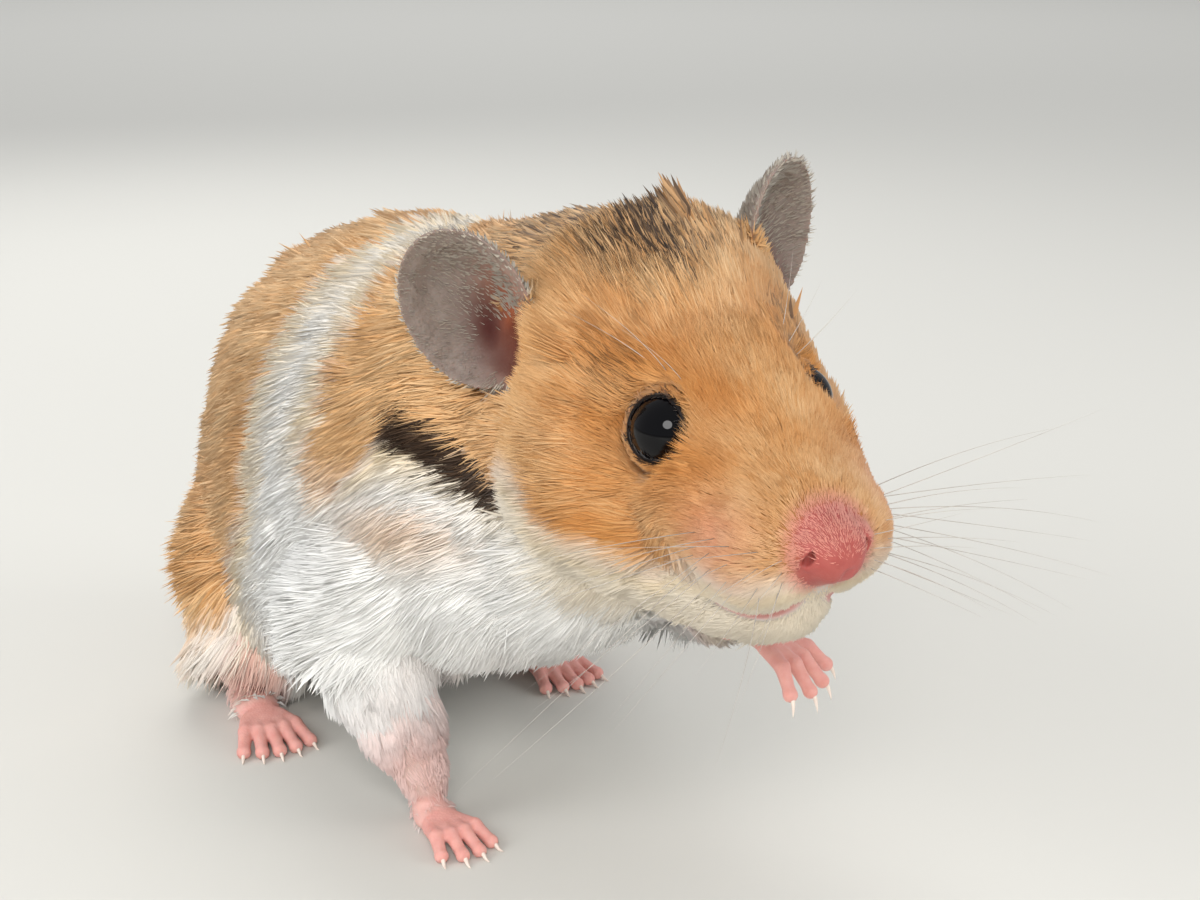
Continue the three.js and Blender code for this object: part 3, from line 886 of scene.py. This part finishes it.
def coat_length(p):
    forward = on_body(p)[1]
    _, hf, hu = on_head(p)
    on = headness(p)
    length = lerp(9, 7.5, ease(forward, 5, 40))
    length = lerp(length, 5.2, on)
    length = lerp(length, 1.7, on * ease(hf, -1, 9))
    length = lerp(length, 2.8, on * ease(-hu, 13, 16) * ease(hf, 0, 6))
    length = lerp(length, 0.75, on * (1 - ease(from_nose(p), 0.3, 3.2)))
    length = lerp(length, 1.3, on * (1 - ease(from_eye(p), 3.9, 7)))
    out, along, _ = nearest_leg(p)
    leg = ease(along, 0.2, 0.6) * (1 - ease(out, 1.5, 5)) * (1 - on)
    length = lerp(length, lerp(5.0, 1.5, ease(along, 0.5, 1)), leg)
    length = lerp(length, 1.0, pawness(p))
    length = lerp(length, 1.2, tailness(p))
    length = np.where(on > 0.5, lerp(0.3, 1, ease(lip_gap(p), 0.7, 2.8)) * length, length)
    for side in (-1, 1):
        x, y, z = ear_place(p, side)
        before = (1 - ease(np.hypot(x - side * 0.2, z + 0.3), 0.9, 1.9)) * (y < 2.5) * (y > -7)
        behind = (1 - ease(np.hypot(x, z + 0.3), 0.7, 1.4)) * (y >= 2.5) * (y < 9)
        length = lerp(lerp(length, 1.1, before * on), 2.2, behind)
    return lerp(length, 0.9, earness(p))


def coat_width(p):
    on = headness(p)
    _, hf, _ = on_head(p)
    width = lerp(0.15, 0.072, on)
    width = lerp(width, 0.055, on * ease(hf, 0, 10))
    out, along, _ = nearest_leg(p)
    leg = ease(along, 0.3, 0.9) * (1 - ease(out, 1.5, 5)) * (1 - on)
    width = lerp(lerp(width, 0.09, leg), 0.06, tailness(p))
    return lerp(width, 0.022, np.maximum(earness(p), pawness(p) * 0.5))


def coat_count(p):
    """Tufts on each square millimetre, before the whole is scaled to the total."""
    on = headness(p)
    _, hf, _ = on_head(p)
    count = lerp(10, 33, on)
    count = lerp(count, 48, on * ease(hf, 0, 9))
    out, along, _ = nearest_leg(p)
    leg = ease(along, 0.3, 0.7) * (1 - ease(out, 1.5, 5)) * (1 - on)
    count = lerp(count, 22, leg)
    count = lerp(count, 4.5, earness(p)) * (1 - pawness(p)) ** 2
    bridge = ease(on_head(p)[2], -8, -4.5)
    count = count * ease(from_nose(p), -0.1 - 1.6 * bridge, 0.8) * ease(lid_edge(p), 5, 10)
    count = count * ease(from_concha(p), 0.1, 0.9)
    return count * np.where(on > 0.5, ease(lip_gap(p), 0.7, 1.1), 1)


# %% Roots over the skin
TUFTS = 366000
WIDEN = 1
corners = points[faces]
middles = corners.mean(1)
areas = np.linalg.norm(np.cross(corners[:, 1] - corners[:, 0], corners[:, 2] - corners[:, 0]), axis=1) / 2
share = np.cumsum(areas * coat_count(middles))
chosen = np.searchsorted(share, (np.arange(TUFTS) + draw.random(TUFTS)) / TUFTS * share[-1])
chosen = np.minimum(chosen, len(faces) - 1)
a, b = np.sqrt(draw.random(TUFTS)), draw.random(TUFTS)
weights = np.stack([1 - a, a * (1 - b), a * b], -1)[..., None]
roots = (corners[chosen] * weights).sum(1)
normals = unit((skin_normals[faces[chosen]] * weights).sum(1))
print("roots:", len(roots), "over", round(areas.sum()), "square mm")

# %% [markdown]
# ## Tufts
# Each tuft is a slim closed solid of four faces: a root, a fold at its widest and a tip. The
# fold lets it rise and then lie down. Neighbours lean to a shared tip, as damp or oily hair
# does, which gives the coat its fine locks. Hair curves would be easier to comb, but they
# are lost when the model leaves Blender.

# %% Lengths and directions, with locks
LOCKS = 0.36
FOLD_AT = 0.42
COWLICK_AT = (3.4, -15.6, 11.5)
FLOOR_GAP = 0.15  # hair that would reach the floor lies along it
CELLS = 4096  # more cells than the animal has along any axis, so that each cell gets its own key
length = coat_length(roots)
depth = lerp(coat_depth(roots), 0.35, tailness(roots))
on = headness(roots)
hl, hf, hu = on_head(roots)
width = coat_width(roots) * WIDEN
way = coat_way(roots, normals)
swirl = waves(roots, 14, 11) * 0.16 + waves(roots, 4, 12) * 0.13 + draw.normal(size=TUFTS) * 0.16
across = np.cross(normals, way)
way = way * np.cos(swirl)[:, None] + across * np.sin(swirl)[:, None]
crown = ease(hu, 7, 11) * on * (1 - ease(hf, -6, 3))
loose = 1 - 0.25 * crown
length = length * (0.7 + 0.6 * draw.random(TUFTS))
rise = np.arcsin(np.clip(depth * loose / np.maximum(length, 0.1), 0.12, 0.62))
rise = rise * (1 + 0.16 * waves(roots, 3.2, 13) + (0.13 + 0.2 * crown) * draw.normal(size=TUFTS))
cowlick = spot((hl, hf, hu), COWLICK_AT, (0.9, 1.0, 3)) * (draw.random(TUFTS) < 0.6)
rise = lerp(rise, 0.85, cowlick)
length = length * (1 + 0.35 * cowlick)
width = width * (1 - 0.4 * cowlick)
rise = np.clip(rise, 0.1, 0.8 + 0.2 * cowlick)


def tufts_at(start, normal, way, length, first, second):
    """Fold and tip of each tuft."""
    def lifted(angle, reach):
        return (way * np.cos(angle)[:, None] + normal * np.sin(angle)[:, None]) * reach[:, None]

    fold = start + lifted(first, length * FOLD_AT)
    return fold, fold + lifted(second, length * (1 - FOLD_AT))


starts = roots - normals * 0.12
folds, tips = tufts_at(starts, normals, way, length, rise * 1.45, rise * 0.42)
lock_size = lerp(lerp(2.6, 1.5, on), 0.9, on * ease(hf, 0, 9))
bend = np.stack([waves(roots, 5, 14 + k) for k in range(3)], -1) * 0.35
cell = np.floor(roots / lock_size[:, None].round(1) + bend).astype(np.int64)
key = cell @ np.array([1, CELLS, CELLS**2]) + (lock_size * 10).astype(int) * CELLS**3
_, lock = np.unique(key, return_inverse=True)
members = np.bincount(lock)[:, None]


def lock_mean(values):
    return (np.stack([np.bincount(lock, values[:, k]) for k in range(3)], -1) / members)[lock]


pull = (LOCKS * (0.5 + draw.random(TUFTS)) * (1 - 0.35 * on) * (1 - earness(roots)))[:, None]
tips = lerp(tips, lock_mean(tips) + (tips - starts) * 0.1, pull)
folds = lerp(folds, lock_mean(folds), pull * 0.35)
for ends in (folds, tips):
    ends[:, 2] = np.maximum(ends[:, 2], FLOOR_GAP * (1 + draw.random(TUFTS)))
print("locks:", len(members), "with", round(TUFTS / len(members), 1), "tufts each")

# %% Tone of each tuft
lock_tone = np.random.default_rng(SEED + 1).random(len(members))[lock]
tone = np.clip(0.5 * lock_tone + 0.5 * draw.random(TUFTS), 0, 1)
shown = lerp(roots, tips, 0.6)
gold, dark, cream, deep, pink = markings(shown)
agouti = draw.random(TUFTS)
dark = ease(dark + 0.55 * (agouti - 0.5), 0.22, 0.75)
tick_share = 0.01 * (1 - on) + 0.25 * ease(roots[:, 2], 58, 65)
ticked = (draw.random(TUFTS) < tick_share) * gold * (0.4 + 0.6 * draw.random(TUFTS))
ear_hair = earness(roots)
edge_hair = np.zeros(TUFTS)
for side in (-1, 1):
    x, y, z = ear_place(roots, side)
    edge_hair = np.maximum(edge_hair, (np.hypot(x, z) > 0.93) * (y < 2))
gold, cream = gold * (1 - ease(ear_hair, 0.5, 1)), lerp(cream, 0.4, ear_hair)
dark = lerp(dark, 0.62 - 0.3 * edge_hair, ear_hair)


# %% [markdown]
# ## Unwrap for the colour bake
# When colours are baked to an image, each tuft needs a spot on it. The body is unrolled about
# a line from tail to nose, and the legs and the ears are simply projected flat, so neighbours
# on the skin are neighbours on the image.

# %% Where each root lies on the unrolled skin
PATCH = 0.003


def unrolled(p):
    left, forward, up = on_body(p)
    axis_up = np.interp(forward, [-20, 10, 45, 62, 90], [26, 30, 36, 46, 44])
    angle = np.arctan2(left - 2.6 * ease(forward, 40, 65), up - axis_up)
    return angle, forward


def spread(values):
    """Values scaled to the middle of the image."""
    low, high = values.min(), values.max()
    return 0.01 + 0.98 * (values - low) / max(high - low, 1e-6)


leg_out, leg_along, _ = nearest_leg(roots)
on_leg = (leg_along > 0.45) & (leg_out < 3) & (on < 0.5)
on_ear = earness(roots) > 0.5
trunk_rows = np.flatnonzero(~on_leg & ~on_ear)
trunk_rows = trunk_rows[np.argsort(roots[trunk_rows, 1], kind="stable")]
STRETCHES = ("muzzle", "face", "crown_and_cheeks", "neck", "shoulders", "loins", "rump")
pieces = dict(zip(STRETCHES, np.array_split(trunk_rows, len(STRETCHES))))
pieces["legs"] = np.flatnonzero(on_leg)
pieces["ears"] = np.flatnonzero(on_ear)
for name, rows in pieces.items():
    print("coat of the", name, len(rows) * 4, "triangles")

# %% [markdown]
# ## Materials
# Hair is keratin, with air inside it: light fur scatters so much that it looks soft and
# nearly matt. Skin is moist and a little see-through. Colours are written as sRGB hex and
# turned to linear by one function, and the marks on skin and coat come in as attributes.


# %% Colours and nodes
def linear(code):
    """An sRGB hex colour as linear red, green, blue and alpha."""
    parts = [int(code[k : k + 2], 16) / 255 for k in (1, 3, 5)]
    return tuple([c / 12.92 if c <= 0.04045 else ((c + 0.055) / 1.055) ** 2.4 for c in parts] + [1])


def add(tree, kind, inputs=None, **settings):
    """Adds a node with its settings; an input is a number, a hex colour, a socket or a node."""
    node = tree.nodes.new(kind)
    for key, value in settings.items():
        setattr(node, key, value)
    for key, value in (inputs or {}).items():
        socket = next(s for s in node.inputs if s.enabled and s.name == key)
        if isinstance(value, bpy.types.Node):
            value = next(s for s in value.outputs if s.enabled)
        if isinstance(value, bpy.types.NodeSocket):
            tree.links.new(value, socket)
        else:
            socket.default_value = linear(value) if isinstance(value, str) else value
    return node


def material(name):
    made = bpy.data.materials.new(name)
    made.use_nodes = True
    made.node_tree.nodes.clear()
    return made, made.node_tree


MIX = dict(kind="ShaderNodeMix", data_type="RGBA")
SURFACE = "ShaderNodeBsdfPrincipled"
OUTPUT = "ShaderNodeOutputMaterial"

# %% Coat: air-filled keratin, soft and nearly matt
coat_finish, tree = material("hamster_hair")
marks = add(tree, "ShaderNodeAttribute", attribute_name="markings")
strand = add(tree, "ShaderNodeAttribute", attribute_name="strand")
mark = add(tree, "ShaderNodeSeparateColor", {"Color": marks.outputs["Color"]}).outputs
hair = add(tree, "ShaderNodeSeparateColor", {"Color": strand.outputs["Color"]}).outputs
# White hair is painted a little grey at the root as shade deep in the coat, and cream where it meets the
# gold.
white = add(tree, inputs={"Factor": hair["Green"], "A": "#D3D1CC", "B": "#F0EFEB"}, **MIX)
white = add(tree, inputs={"Factor": mark["Blue"], "A": white, "B": "#E1C89B"}, **MIX)
# Gold runs from straw to a rich tan round the eyes and on the cheeks, and is painted duller at the root as
# shade.
light = add(tree, inputs={"Factor": hair["Red"], "A": "#D1985A", "B": "#F7D2A0"}, **MIX)
rich = add(tree, inputs={"Factor": hair["Red"], "A": "#C57F3C", "B": "#DDA05E"}, **MIX)
golden = add(tree, inputs={"Factor": marks.outputs["Alpha"], "A": light, "B": rich}, **MIX)
golden = add(tree, inputs={"Factor": hair["Green"], "A": "#B07F4E", "B": golden}, **MIX)
sooty = add(tree, inputs={"Factor": hair["Red"], "A": "#20150D", "B": "#4E3723"}, **MIX)
# Ticked tips and the sooty marks lie over both, and pink skin glows through thin hair.
colour = add(tree, inputs={"Factor": mark["Red"], "A": white, "B": golden}, **MIX)
colour = add(tree, inputs={"Factor": hair["Blue"], "A": colour, "B": "#6E5036"}, **MIX)
colour = add(tree, inputs={"Factor": mark["Green"], "A": colour, "B": sooty}, **MIX)
colour = add(tree, inputs={"Factor": strand.outputs["Alpha"], "A": colour, "B": "#D58F80"}, **MIX)
surface = add(tree, SURFACE, {
    "Base Color": colour, "Roughness": 0.6, "Specular IOR Level": 0.2,
    "Sheen Weight": 0.12, "Sheen Roughness": 0.5,
})
add(tree, OUTPUT, {"Surface": surface})

# %% Skin: pink and moist where bare, and the coat's own colour where hair covers it
skin_finish, tree = material("bare_and_covered_skin")
marks = add(tree, "ShaderNodeAttribute", attribute_name="markings")
bares = add(tree, "ShaderNodeAttribute", attribute_name="bare")
hollows = add(tree, "ShaderNodeAttribute", attribute_name="hollow")
mark = add(tree, "ShaderNodeSeparateColor", {"Color": marks.outputs["Color"]}).outputs
bare = add(tree, "ShaderNodeSeparateColor", {"Color": bares.outputs["Color"]}).outputs
low = add(tree, "ShaderNodeSeparateColor", {"Color": hollows.outputs["Color"]}).outputs
place_on = add(tree, "ShaderNodeTexCoord").outputs["Object"]
mottle = add(tree, "ShaderNodeTexNoise", {"Vector": place_on, "Scale": 900.0, "Detail": 4.0})
pores = add(tree, "ShaderNodeTexVoronoi", {"Vector": place_on, "Scale": 3300.0})
# Under the coat the skin takes the coat's shade, so that it never shines through as pink.
under = add(tree, inputs={"Factor": mark["Red"], "A": "#C9BFB6", "B": "#A9733E"}, **MIX)
under = add(tree, inputs={"Factor": mark["Green"], "A": under, "B": "#4A3A32"}, **MIX)
# Bare skin is mottled pink, the ear grey, partly red, with painted shade in its hollow; the lids nearly
# black.
pinkish = add(tree, inputs={"Factor": mottle, "A": "#CE8A80", "B": "#E4AEA4"}, **MIX)
ear = add(tree, inputs={"Factor": mottle, "A": "#776A61", "B": "#9A8C83"}, **MIX)
ear = add(tree, inputs={"Factor": low["Green"], "A": ear, "B": "#AC5F3E"}, **MIX)
# painted shade darkens the ear's hollow
ear = add(tree, inputs={"Factor": low["Red"], "A": ear, "B": "#451A15"}, **MIX)
nose = add(tree, inputs={"Factor": mottle, "A": "#9C4743", "B": "#AF5F57"}, **MIX)
colour = add(tree, inputs={"Factor": bare["Red"], "A": under, "B": pinkish}, **MIX)
colour = add(tree, inputs={"Factor": bare["Green"], "A": colour, "B": ear}, **MIX)
colour = add(tree, inputs={"Factor": bares.outputs["Alpha"], "A": colour, "B": nose}, **MIX)
colour = add(tree, inputs={"Factor": low["Blue"], "A": colour, "B": "#B05E5A"}, **MIX)
colour = add(tree, inputs={"Factor": bare["Blue"], "A": colour, "B": "#15100F"}, **MIX)
bump = add(tree, "ShaderNodeBump", {"Strength": 0.35, "Distance": 0.00008, "Height": pores})
surface = add(tree, SURFACE, {
    "Base Color": colour, "Normal": bump, "Roughness": 0.5, "IOR": 1.4, "Specular IOR Level": 0.35,
    "Subsurface Weight": 0.2, "Subsurface Radius": (0.0012, 0.0005, 0.0003), "Subsurface Scale": 1.0,
})
add(tree, OUTPUT, {"Surface": surface})
skin.data.materials.append(skin_finish)

# %% Make the coat's pieces
FACES = np.array([[0, 1, 2], [3, 2, 1], [0, 3, 1], [0, 2, 3]])
PATCH_CORNERS = np.array([[0, -0.5], [-0.5, 0], [0.5, 0], [0, 0.5]]) * PATCH
# from root to tip along each tuft; the coat's colour is painted darker towards the root, as shade
ROOT_TO_TIP = np.array([0.0, 0.55, 0.55, 1.0])
TICKING = np.array([0.1, 0.45, 0.45, 1])  # a ticked hair darkens towards its tip
SKYWARD = np.array([0, 0, 0.4])  # hair passes light on, so its shading leans a little to the sky


def tuft_corners(rows):
    """Root, the two points of the fold and tip of each tuft, and half its width as a direction."""
    roll = (draw.random(len(rows)) - 0.5) * 1.1
    ahead = unit(folds[rows] - starts[rows])
    side = unit(np.cross(ahead, normals[rows]))
    over = np.cross(side, ahead)
    side = side * np.cos(roll)[:, None] + over * np.sin(roll)[:, None]
    half = side * (width[rows] * (0.75 + 0.5 * draw.random(len(rows))) / 2)[:, None]
    four = np.stack([starts[rows], folds[rows] + half, folds[rows] - half, tips[rows]], 1)
    edge = four[:, 1:] - four[:, :1]
    volume = np.einsum("ij,ij->i", np.cross(edge[:, 0], edge[:, 1]), edge[:, 2])
    four[volume > 0] = four[volume > 0][:, [0, 2, 1, 3]]
    return four, half


def soft_normals(rows, half):
    """Shading normals close to the skin's, so that many flat faces shade as one soft coat."""
    across = np.stack([0 * half, half, -half, 0 * half], 1)
    across = across * 1.2 / np.maximum(width[rows], 0.05)[:, None, None]
    ahead = unit(tips[rows] - folds[rows])[:, None, :]
    return unit(normals[rows][:, None, :] + across + 0.15 * ahead + SKYWARD)


def bake_places(name, rows):
    """Across and up on the image that colours are baked to, from where the roots are."""
    x, y, z = roots[rows].T
    if name == "ears":
        return spread(np.sign(x - HEAD_AT[0]) + 0.01 * y), spread(z)
    if name == "legs":
        return spread(x + 0.5 * y), spread(z + 0.3 * y)
    return [spread(value) for value in unrolled(roots[rows])]


def tuft_piece(name, rows):
    four, half = tuft_corners(rows)
    faces = (np.arange(len(rows))[:, None, None] * 4 + FACES).reshape(-1, 3)
    obj = mesh_object("coat_" + name, four.reshape(-1, 3), faces)
    mesh = obj.data
    along = np.tile(ROOT_TO_TIP, len(rows))
    dark_tip = (ticked[rows][:, None] * TICKING).ravel()
    colour_attribute(mesh, "markings", [v[rows].repeat(4) for v in (gold, dark, cream, deep)])
    colour_attribute(mesh, "strand", [tone[rows].repeat(4), along, dark_tip, pink[rows].repeat(4)])
    layer = mesh.attributes.new("custom_normal", "FLOAT_VECTOR", "POINT")
    layer.data.foreach_set("vector", soft_normals(rows, half).astype(np.float32).ravel())
    patches = np.stack(bake_places(name, rows), -1)[:, None, :] + PATCH_CORNERS
    uv = mesh.uv_layers.new(name="OFBake")
    uv.data.foreach_set("uv", patches.reshape(-1, 2)[faces.ravel()].astype(np.float32).ravel())
    mesh.materials.append(coat_finish)
    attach(obj, "root")
    return obj


coat = [tuft_piece(name, rows) for name, rows in pieces.items() if len(rows)]
print("coat pieces:", len(coat), "with", sum(len(obj.data.polygons) for obj in coat), "triangles")

# %% [markdown]
# ## Eyes
# A hamster's eye is nearly all dark iris and pupil under a wet, clear cornea, so from outside
# it is one glossy black ball. A smooth ball stands in for the faceted solid, a hair's breadth
# smaller than its socket.

# %% Eyeballs
EYE_SPOKES, EYE_RINGS = 64, 40
CORNEA_BULGE = 0.14


def eyeball(side):
    axis = Vector(eye_axis(side))
    turn = np.array(axis.to_track_quat("Z", "Y").to_matrix())
    rows = []
    spokes = np.arange(EYE_SPOKES) * 2 * np.pi / EYE_SPOKES
    for k in range(1, EYE_RINGS):
        angle = np.pi * k / EYE_RINGS
        reach = EYE_RADIUS + CORNEA_BULGE * math.exp(-((angle / 0.7) ** 2))
        across, ahead = reach * np.sin(angle), np.full(EYE_SPOKES, reach * np.cos(angle))
        rows.append(np.stack([np.cos(spokes) * across, np.sin(spokes) * across, ahead], -1))
    q = np.concatenate([[[0, 0, EYE_RADIUS + CORNEA_BULGE]]] + rows + [[[0, 0, -EYE_RADIUS]]])
    faces, _ = wound_outward(q, capped_faces(EYE_RINGS - 1, EYE_SPOKES))
    word = "right" if side < 0 else "left"
    obj = mesh_object("eyeball_" + word, q @ turn.T + eye_middle(side), faces)
    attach(obj, "root")
    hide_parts("eye_" + word)
    return obj


eye_finish, tree = material("wet_black_cornea")
rim = add(tree, "ShaderNodeLayerWeight", {"Blend": 0.35}).outputs["Facing"]
colour = add(tree, inputs={"Factor": rim, "A": "#030305", "B": "#0E0A0B"}, **MIX)
surface = add(tree, SURFACE, {
    "Base Color": colour, "Roughness": 0.03, "IOR": 1.376, "Specular IOR Level": 0.35,
})
add(tree, OUTPUT, {"Surface": surface})
for side in (-1, 1):
    eyeball(side).data.materials.append(eye_finish)

# %% [markdown]
# ## Claws and whiskers
# Claws are small curved cones of pale horn at the digit tips. Whiskers are stiff hairs that
# taper to nothing, in rows on each side of the muzzle, with a few over each eye. Both are made
# by one function that skins a tapering rod along a bent line.


# %% Tapering rods
def tapered(paths, radii, sides=5):
    """Closed tapering rods along rows of points, joined in one mesh."""
    meshes = []
    for path, radius in zip(paths, radii):
        ahead = unit(np.gradient(path, axis=0))
        across = unit(np.cross(ahead, [0.3, 0.2, 1]))
        over = np.cross(across, ahead)
        angle = np.arange(sides) * 2 * np.pi / sides
        ring = np.cos(angle)[None, :, None] * across[:, None] + np.sin(angle)[None, :, None] * over[:, None]
        q = (path[:, None] + ring * radius[:, None, None])[:-1].reshape(-1, 3)
        q = np.concatenate([q, path[:1], path[-1:]])
        count = len(path) - 1
        faces = []
        for i in range(sides):
            j = (i + 1) % sides
            faces.append([count * sides, j, i])
            for k in range(count - 1):
                a, b = k * sides, (k + 1) * sides
                faces += [[a + i, a + j, b + j], [a + i, b + j, b + i]]
            faces.append([(count - 1) * sides + i, (count - 1) * sides + j, count * sides + 1])
        faces, _ = wound_outward(q, np.array(faces))
        meshes.append((q, faces))
    return joined(meshes)


# %% Claws
CLAW_LENGTH, CLAW_RADIUS = 1.7, 0.26
claw_paths = []
for name in PAWS:
    digits, turn, _ = paw_digits(name)
    for _, knuckle, tip in digits:
        ahead = unit(tip - knuckle)
        down = turn @ np.array([0, 0, -1])
        t = np.linspace(0, 1, 7)[:, None]
        path = tip + ahead * (0.35 + CLAW_LENGTH * t) + down * (0.75 * t**2 - 0.15)
        path[:, 2] = np.maximum(path[:, 2], 0.12) if tip[2] < 5 else path[:, 2]
        claw_paths.append(path)
claw_radii = [CLAW_RADIUS * (1 - np.linspace(0, 0.94, 7) ** 1.6)] * len(claw_paths)
claws = mesh_object("claws", *tapered(claw_paths, claw_radii, sides=8))
horn, tree = material("pale_horn")
place_on = add(tree, "ShaderNodeTexCoord").outputs["Object"]
grain = add(tree, "ShaderNodeTexNoise", {"Vector": place_on, "Scale": 1500.0})
colour = add(tree, inputs={"Factor": grain, "A": "#D9C3B4", "B": "#EFE3D8"}, **MIX)
surface = add(tree, SURFACE, {"Base Color": colour, "Roughness": 0.35, "IOR": 1.54})
add(tree, OUTPUT, {"Surface": surface})
claws.data.materials.append(horn)
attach(claws, "root")
print("claws:", len(claw_paths))

# %% Whiskers
WHISKER_RADIUS = 0.04
whisker_paths = []
pick = np.random.default_rng(SEED + 2)
for side in (-1, 1):
    for row in range(4):
        for column in range(5):
            back, low = column / 4, row / 3
            seat = head_place(side * (4.6 + 4.2 * back), 15.0 - 7.0 * back, -6.9 - 3.6 * low + 0.6 * back)
            seat = points[np.argmin(((points - seat) ** 2).sum(1))]
            out = head_way(side * (0.6 + 0.3 * back), 0.62 - 0.35 * back, 0.3 - 0.6 * low)
            out = unit(out + pick.normal(size=3) * 0.09)
            reach = lerp(11, 25, back) * pick.uniform(0.75, 1.1)
            sag = head_way(side * 0.1, -0.35, -0.32 * pick.uniform(0.4, 1.6))
            t = np.linspace(0, 1, 12)[:, None]
            whisker_paths.append(seat + out * reach * t + sag * reach * t**2 * 0.5 - out * 0.4 * (1 - t))
    for k in range(3):
        seat = head_place(side * 6.5, 0.5 - 2 * k, 4.5)
        seat = points[np.argmin(((points - seat) ** 2).sum(1))]
        out = unit(head_way(side * 0.6, 0.3 - 0.5 * k, 0.8) + pick.normal(size=3) * 0.1)
        reach = 9 * pick.uniform(0.7, 1.2)
        t = np.linspace(0, 1, 12)[:, None]
        sag = head_way(side * 0.3, -0.7, -0.2)
        whisker_paths.append(seat + out * reach * t + sag * reach * t**2 * 0.5)
whisker_radii = [WHISKER_RADIUS * (1 - np.linspace(0, 0.9, 12))] * len(whisker_paths)
whiskers = mesh_object("whiskers", *tapered(whisker_paths, whisker_radii, sides=4))
whisker_hair, tree = material("whisker_hair")
place_on = add(tree, "ShaderNodeTexCoord").outputs["Object"]
patches = add(tree, "ShaderNodeTexNoise", {"Vector": place_on, "Scale": 260.0})
colour = add(tree, inputs={"Factor": patches, "A": "#7A6E64", "B": "#D8D0C6"}, **MIX)
surface = add(tree, SURFACE, {"Base Color": colour, "Roughness": 0.4, "IOR": 1.55})
add(tree, OUTPUT, {"Surface": surface})
whiskers.data.materials.append(whisker_hair)
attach(whiskers, "root")
print("whiskers:", len(whisker_paths))

# %% The skin stands for every node of flesh
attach(skin, "root")
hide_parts(*[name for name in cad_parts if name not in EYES])

# %% [markdown]
# ## Camera, floor and light
# The camera looks along the animal's right side from in front and a little above. A soft lamp
# in front gives the form and the one bright spot in each eye. Weaker ones from low in front,
# both sides and behind open the shadows, and a wide one lights the floor far behind, as in a
# pale showcase.

# %% Camera
CAMERA_AT = (-84.8, -171.1, 95)
CAMERA_SWING, CAMERA_PITCH = 30, 17
LENS, SENSOR = 54.63, 36
camera = bpy.data.objects.new("camera", bpy.data.cameras.new("camera"))
camera.data.lens, camera.data.sensor_width, camera.data.clip_start = LENS, SENSOR, 0.01
camera.location = Vector(CAMERA_AT) * MM
camera.rotation_euler = (math.radians(90 - CAMERA_PITCH), 0, math.radians(-CAMERA_SWING))
bpy.context.scene.collection.objects.link(camera)
bpy.context.scene.camera = camera

# %% Floor and light
FLOOR_HALF = 2500
floor_points = np.array([[-1, -1, 0], [1, -1, 0], [1, 1, 0], [-1, 1, 0]]) * FLOOR_HALF
floor = mesh_object("floor", floor_points, np.array([[0, 1, 2, 3]]), smooth=False)
painted, tree = material("pale_floor")
surface = add(tree, SURFACE, {"Base Color": "#CFCDC6", "Roughness": 0.7, "Specular IOR Level": 0.2})
add(tree, OUTPUT, {"Surface": surface})
floor.data.materials.append(painted)


LAMPS = (  # name, place and aim in millimetres, size, power in watts, colour
    ("front_softbox", (-230, -400, 330), (0, 0, 30), 230, 1.45, "#FDFCFB"),
    ("low_front_fill", (-190, -330, 45), (0, -30, 25), 240, 0.42, "#FBFAF8"),
    ("right_side_fill", (-420, 60, 240), (0, 0, 30), 320, 1.1, "#FAFBFD"),
    ("left_fill", (360, -260, 220), (0, 0, 30), 300, 0.8, "#F8F8FA"),
    ("rear_softbox", (60, 380, 330), (0, 0, 30), 300, 0.75, "#FAFAFA"),
    ("far_floor_wash", (560, 1150, 1200), (600, 1200, 0), 1600, 11, "#F6F8FC"),
)
for name, at, aim, size, power, colour in LAMPS:
    light = bpy.data.lights.new(name, "AREA")
    light.shape, light.size, light.energy, light.color = "DISK", size * MM, power, linear(colour)[:3]
    lamp = bpy.data.objects.new(name, light)
    lamp.visible_glossy = name == "front_softbox"
    lamp.location = Vector(at) * MM
    lamp.rotation_euler = (Vector(aim) - Vector(at)).to_track_quat("-Z", "Y").to_euler()
    bpy.context.scene.collection.objects.link(lamp)
world = bpy.data.worlds.new("pale_room")
world.use_nodes = True
world.node_tree.nodes["Background"].inputs["Color"].default_value = linear("#F1F3F6")
world.node_tree.nodes["Background"].inputs["Strength"].default_value = 0.53
bpy.context.scene.world = world
bpy.context.scene.view_settings.view_transform = "Standard"
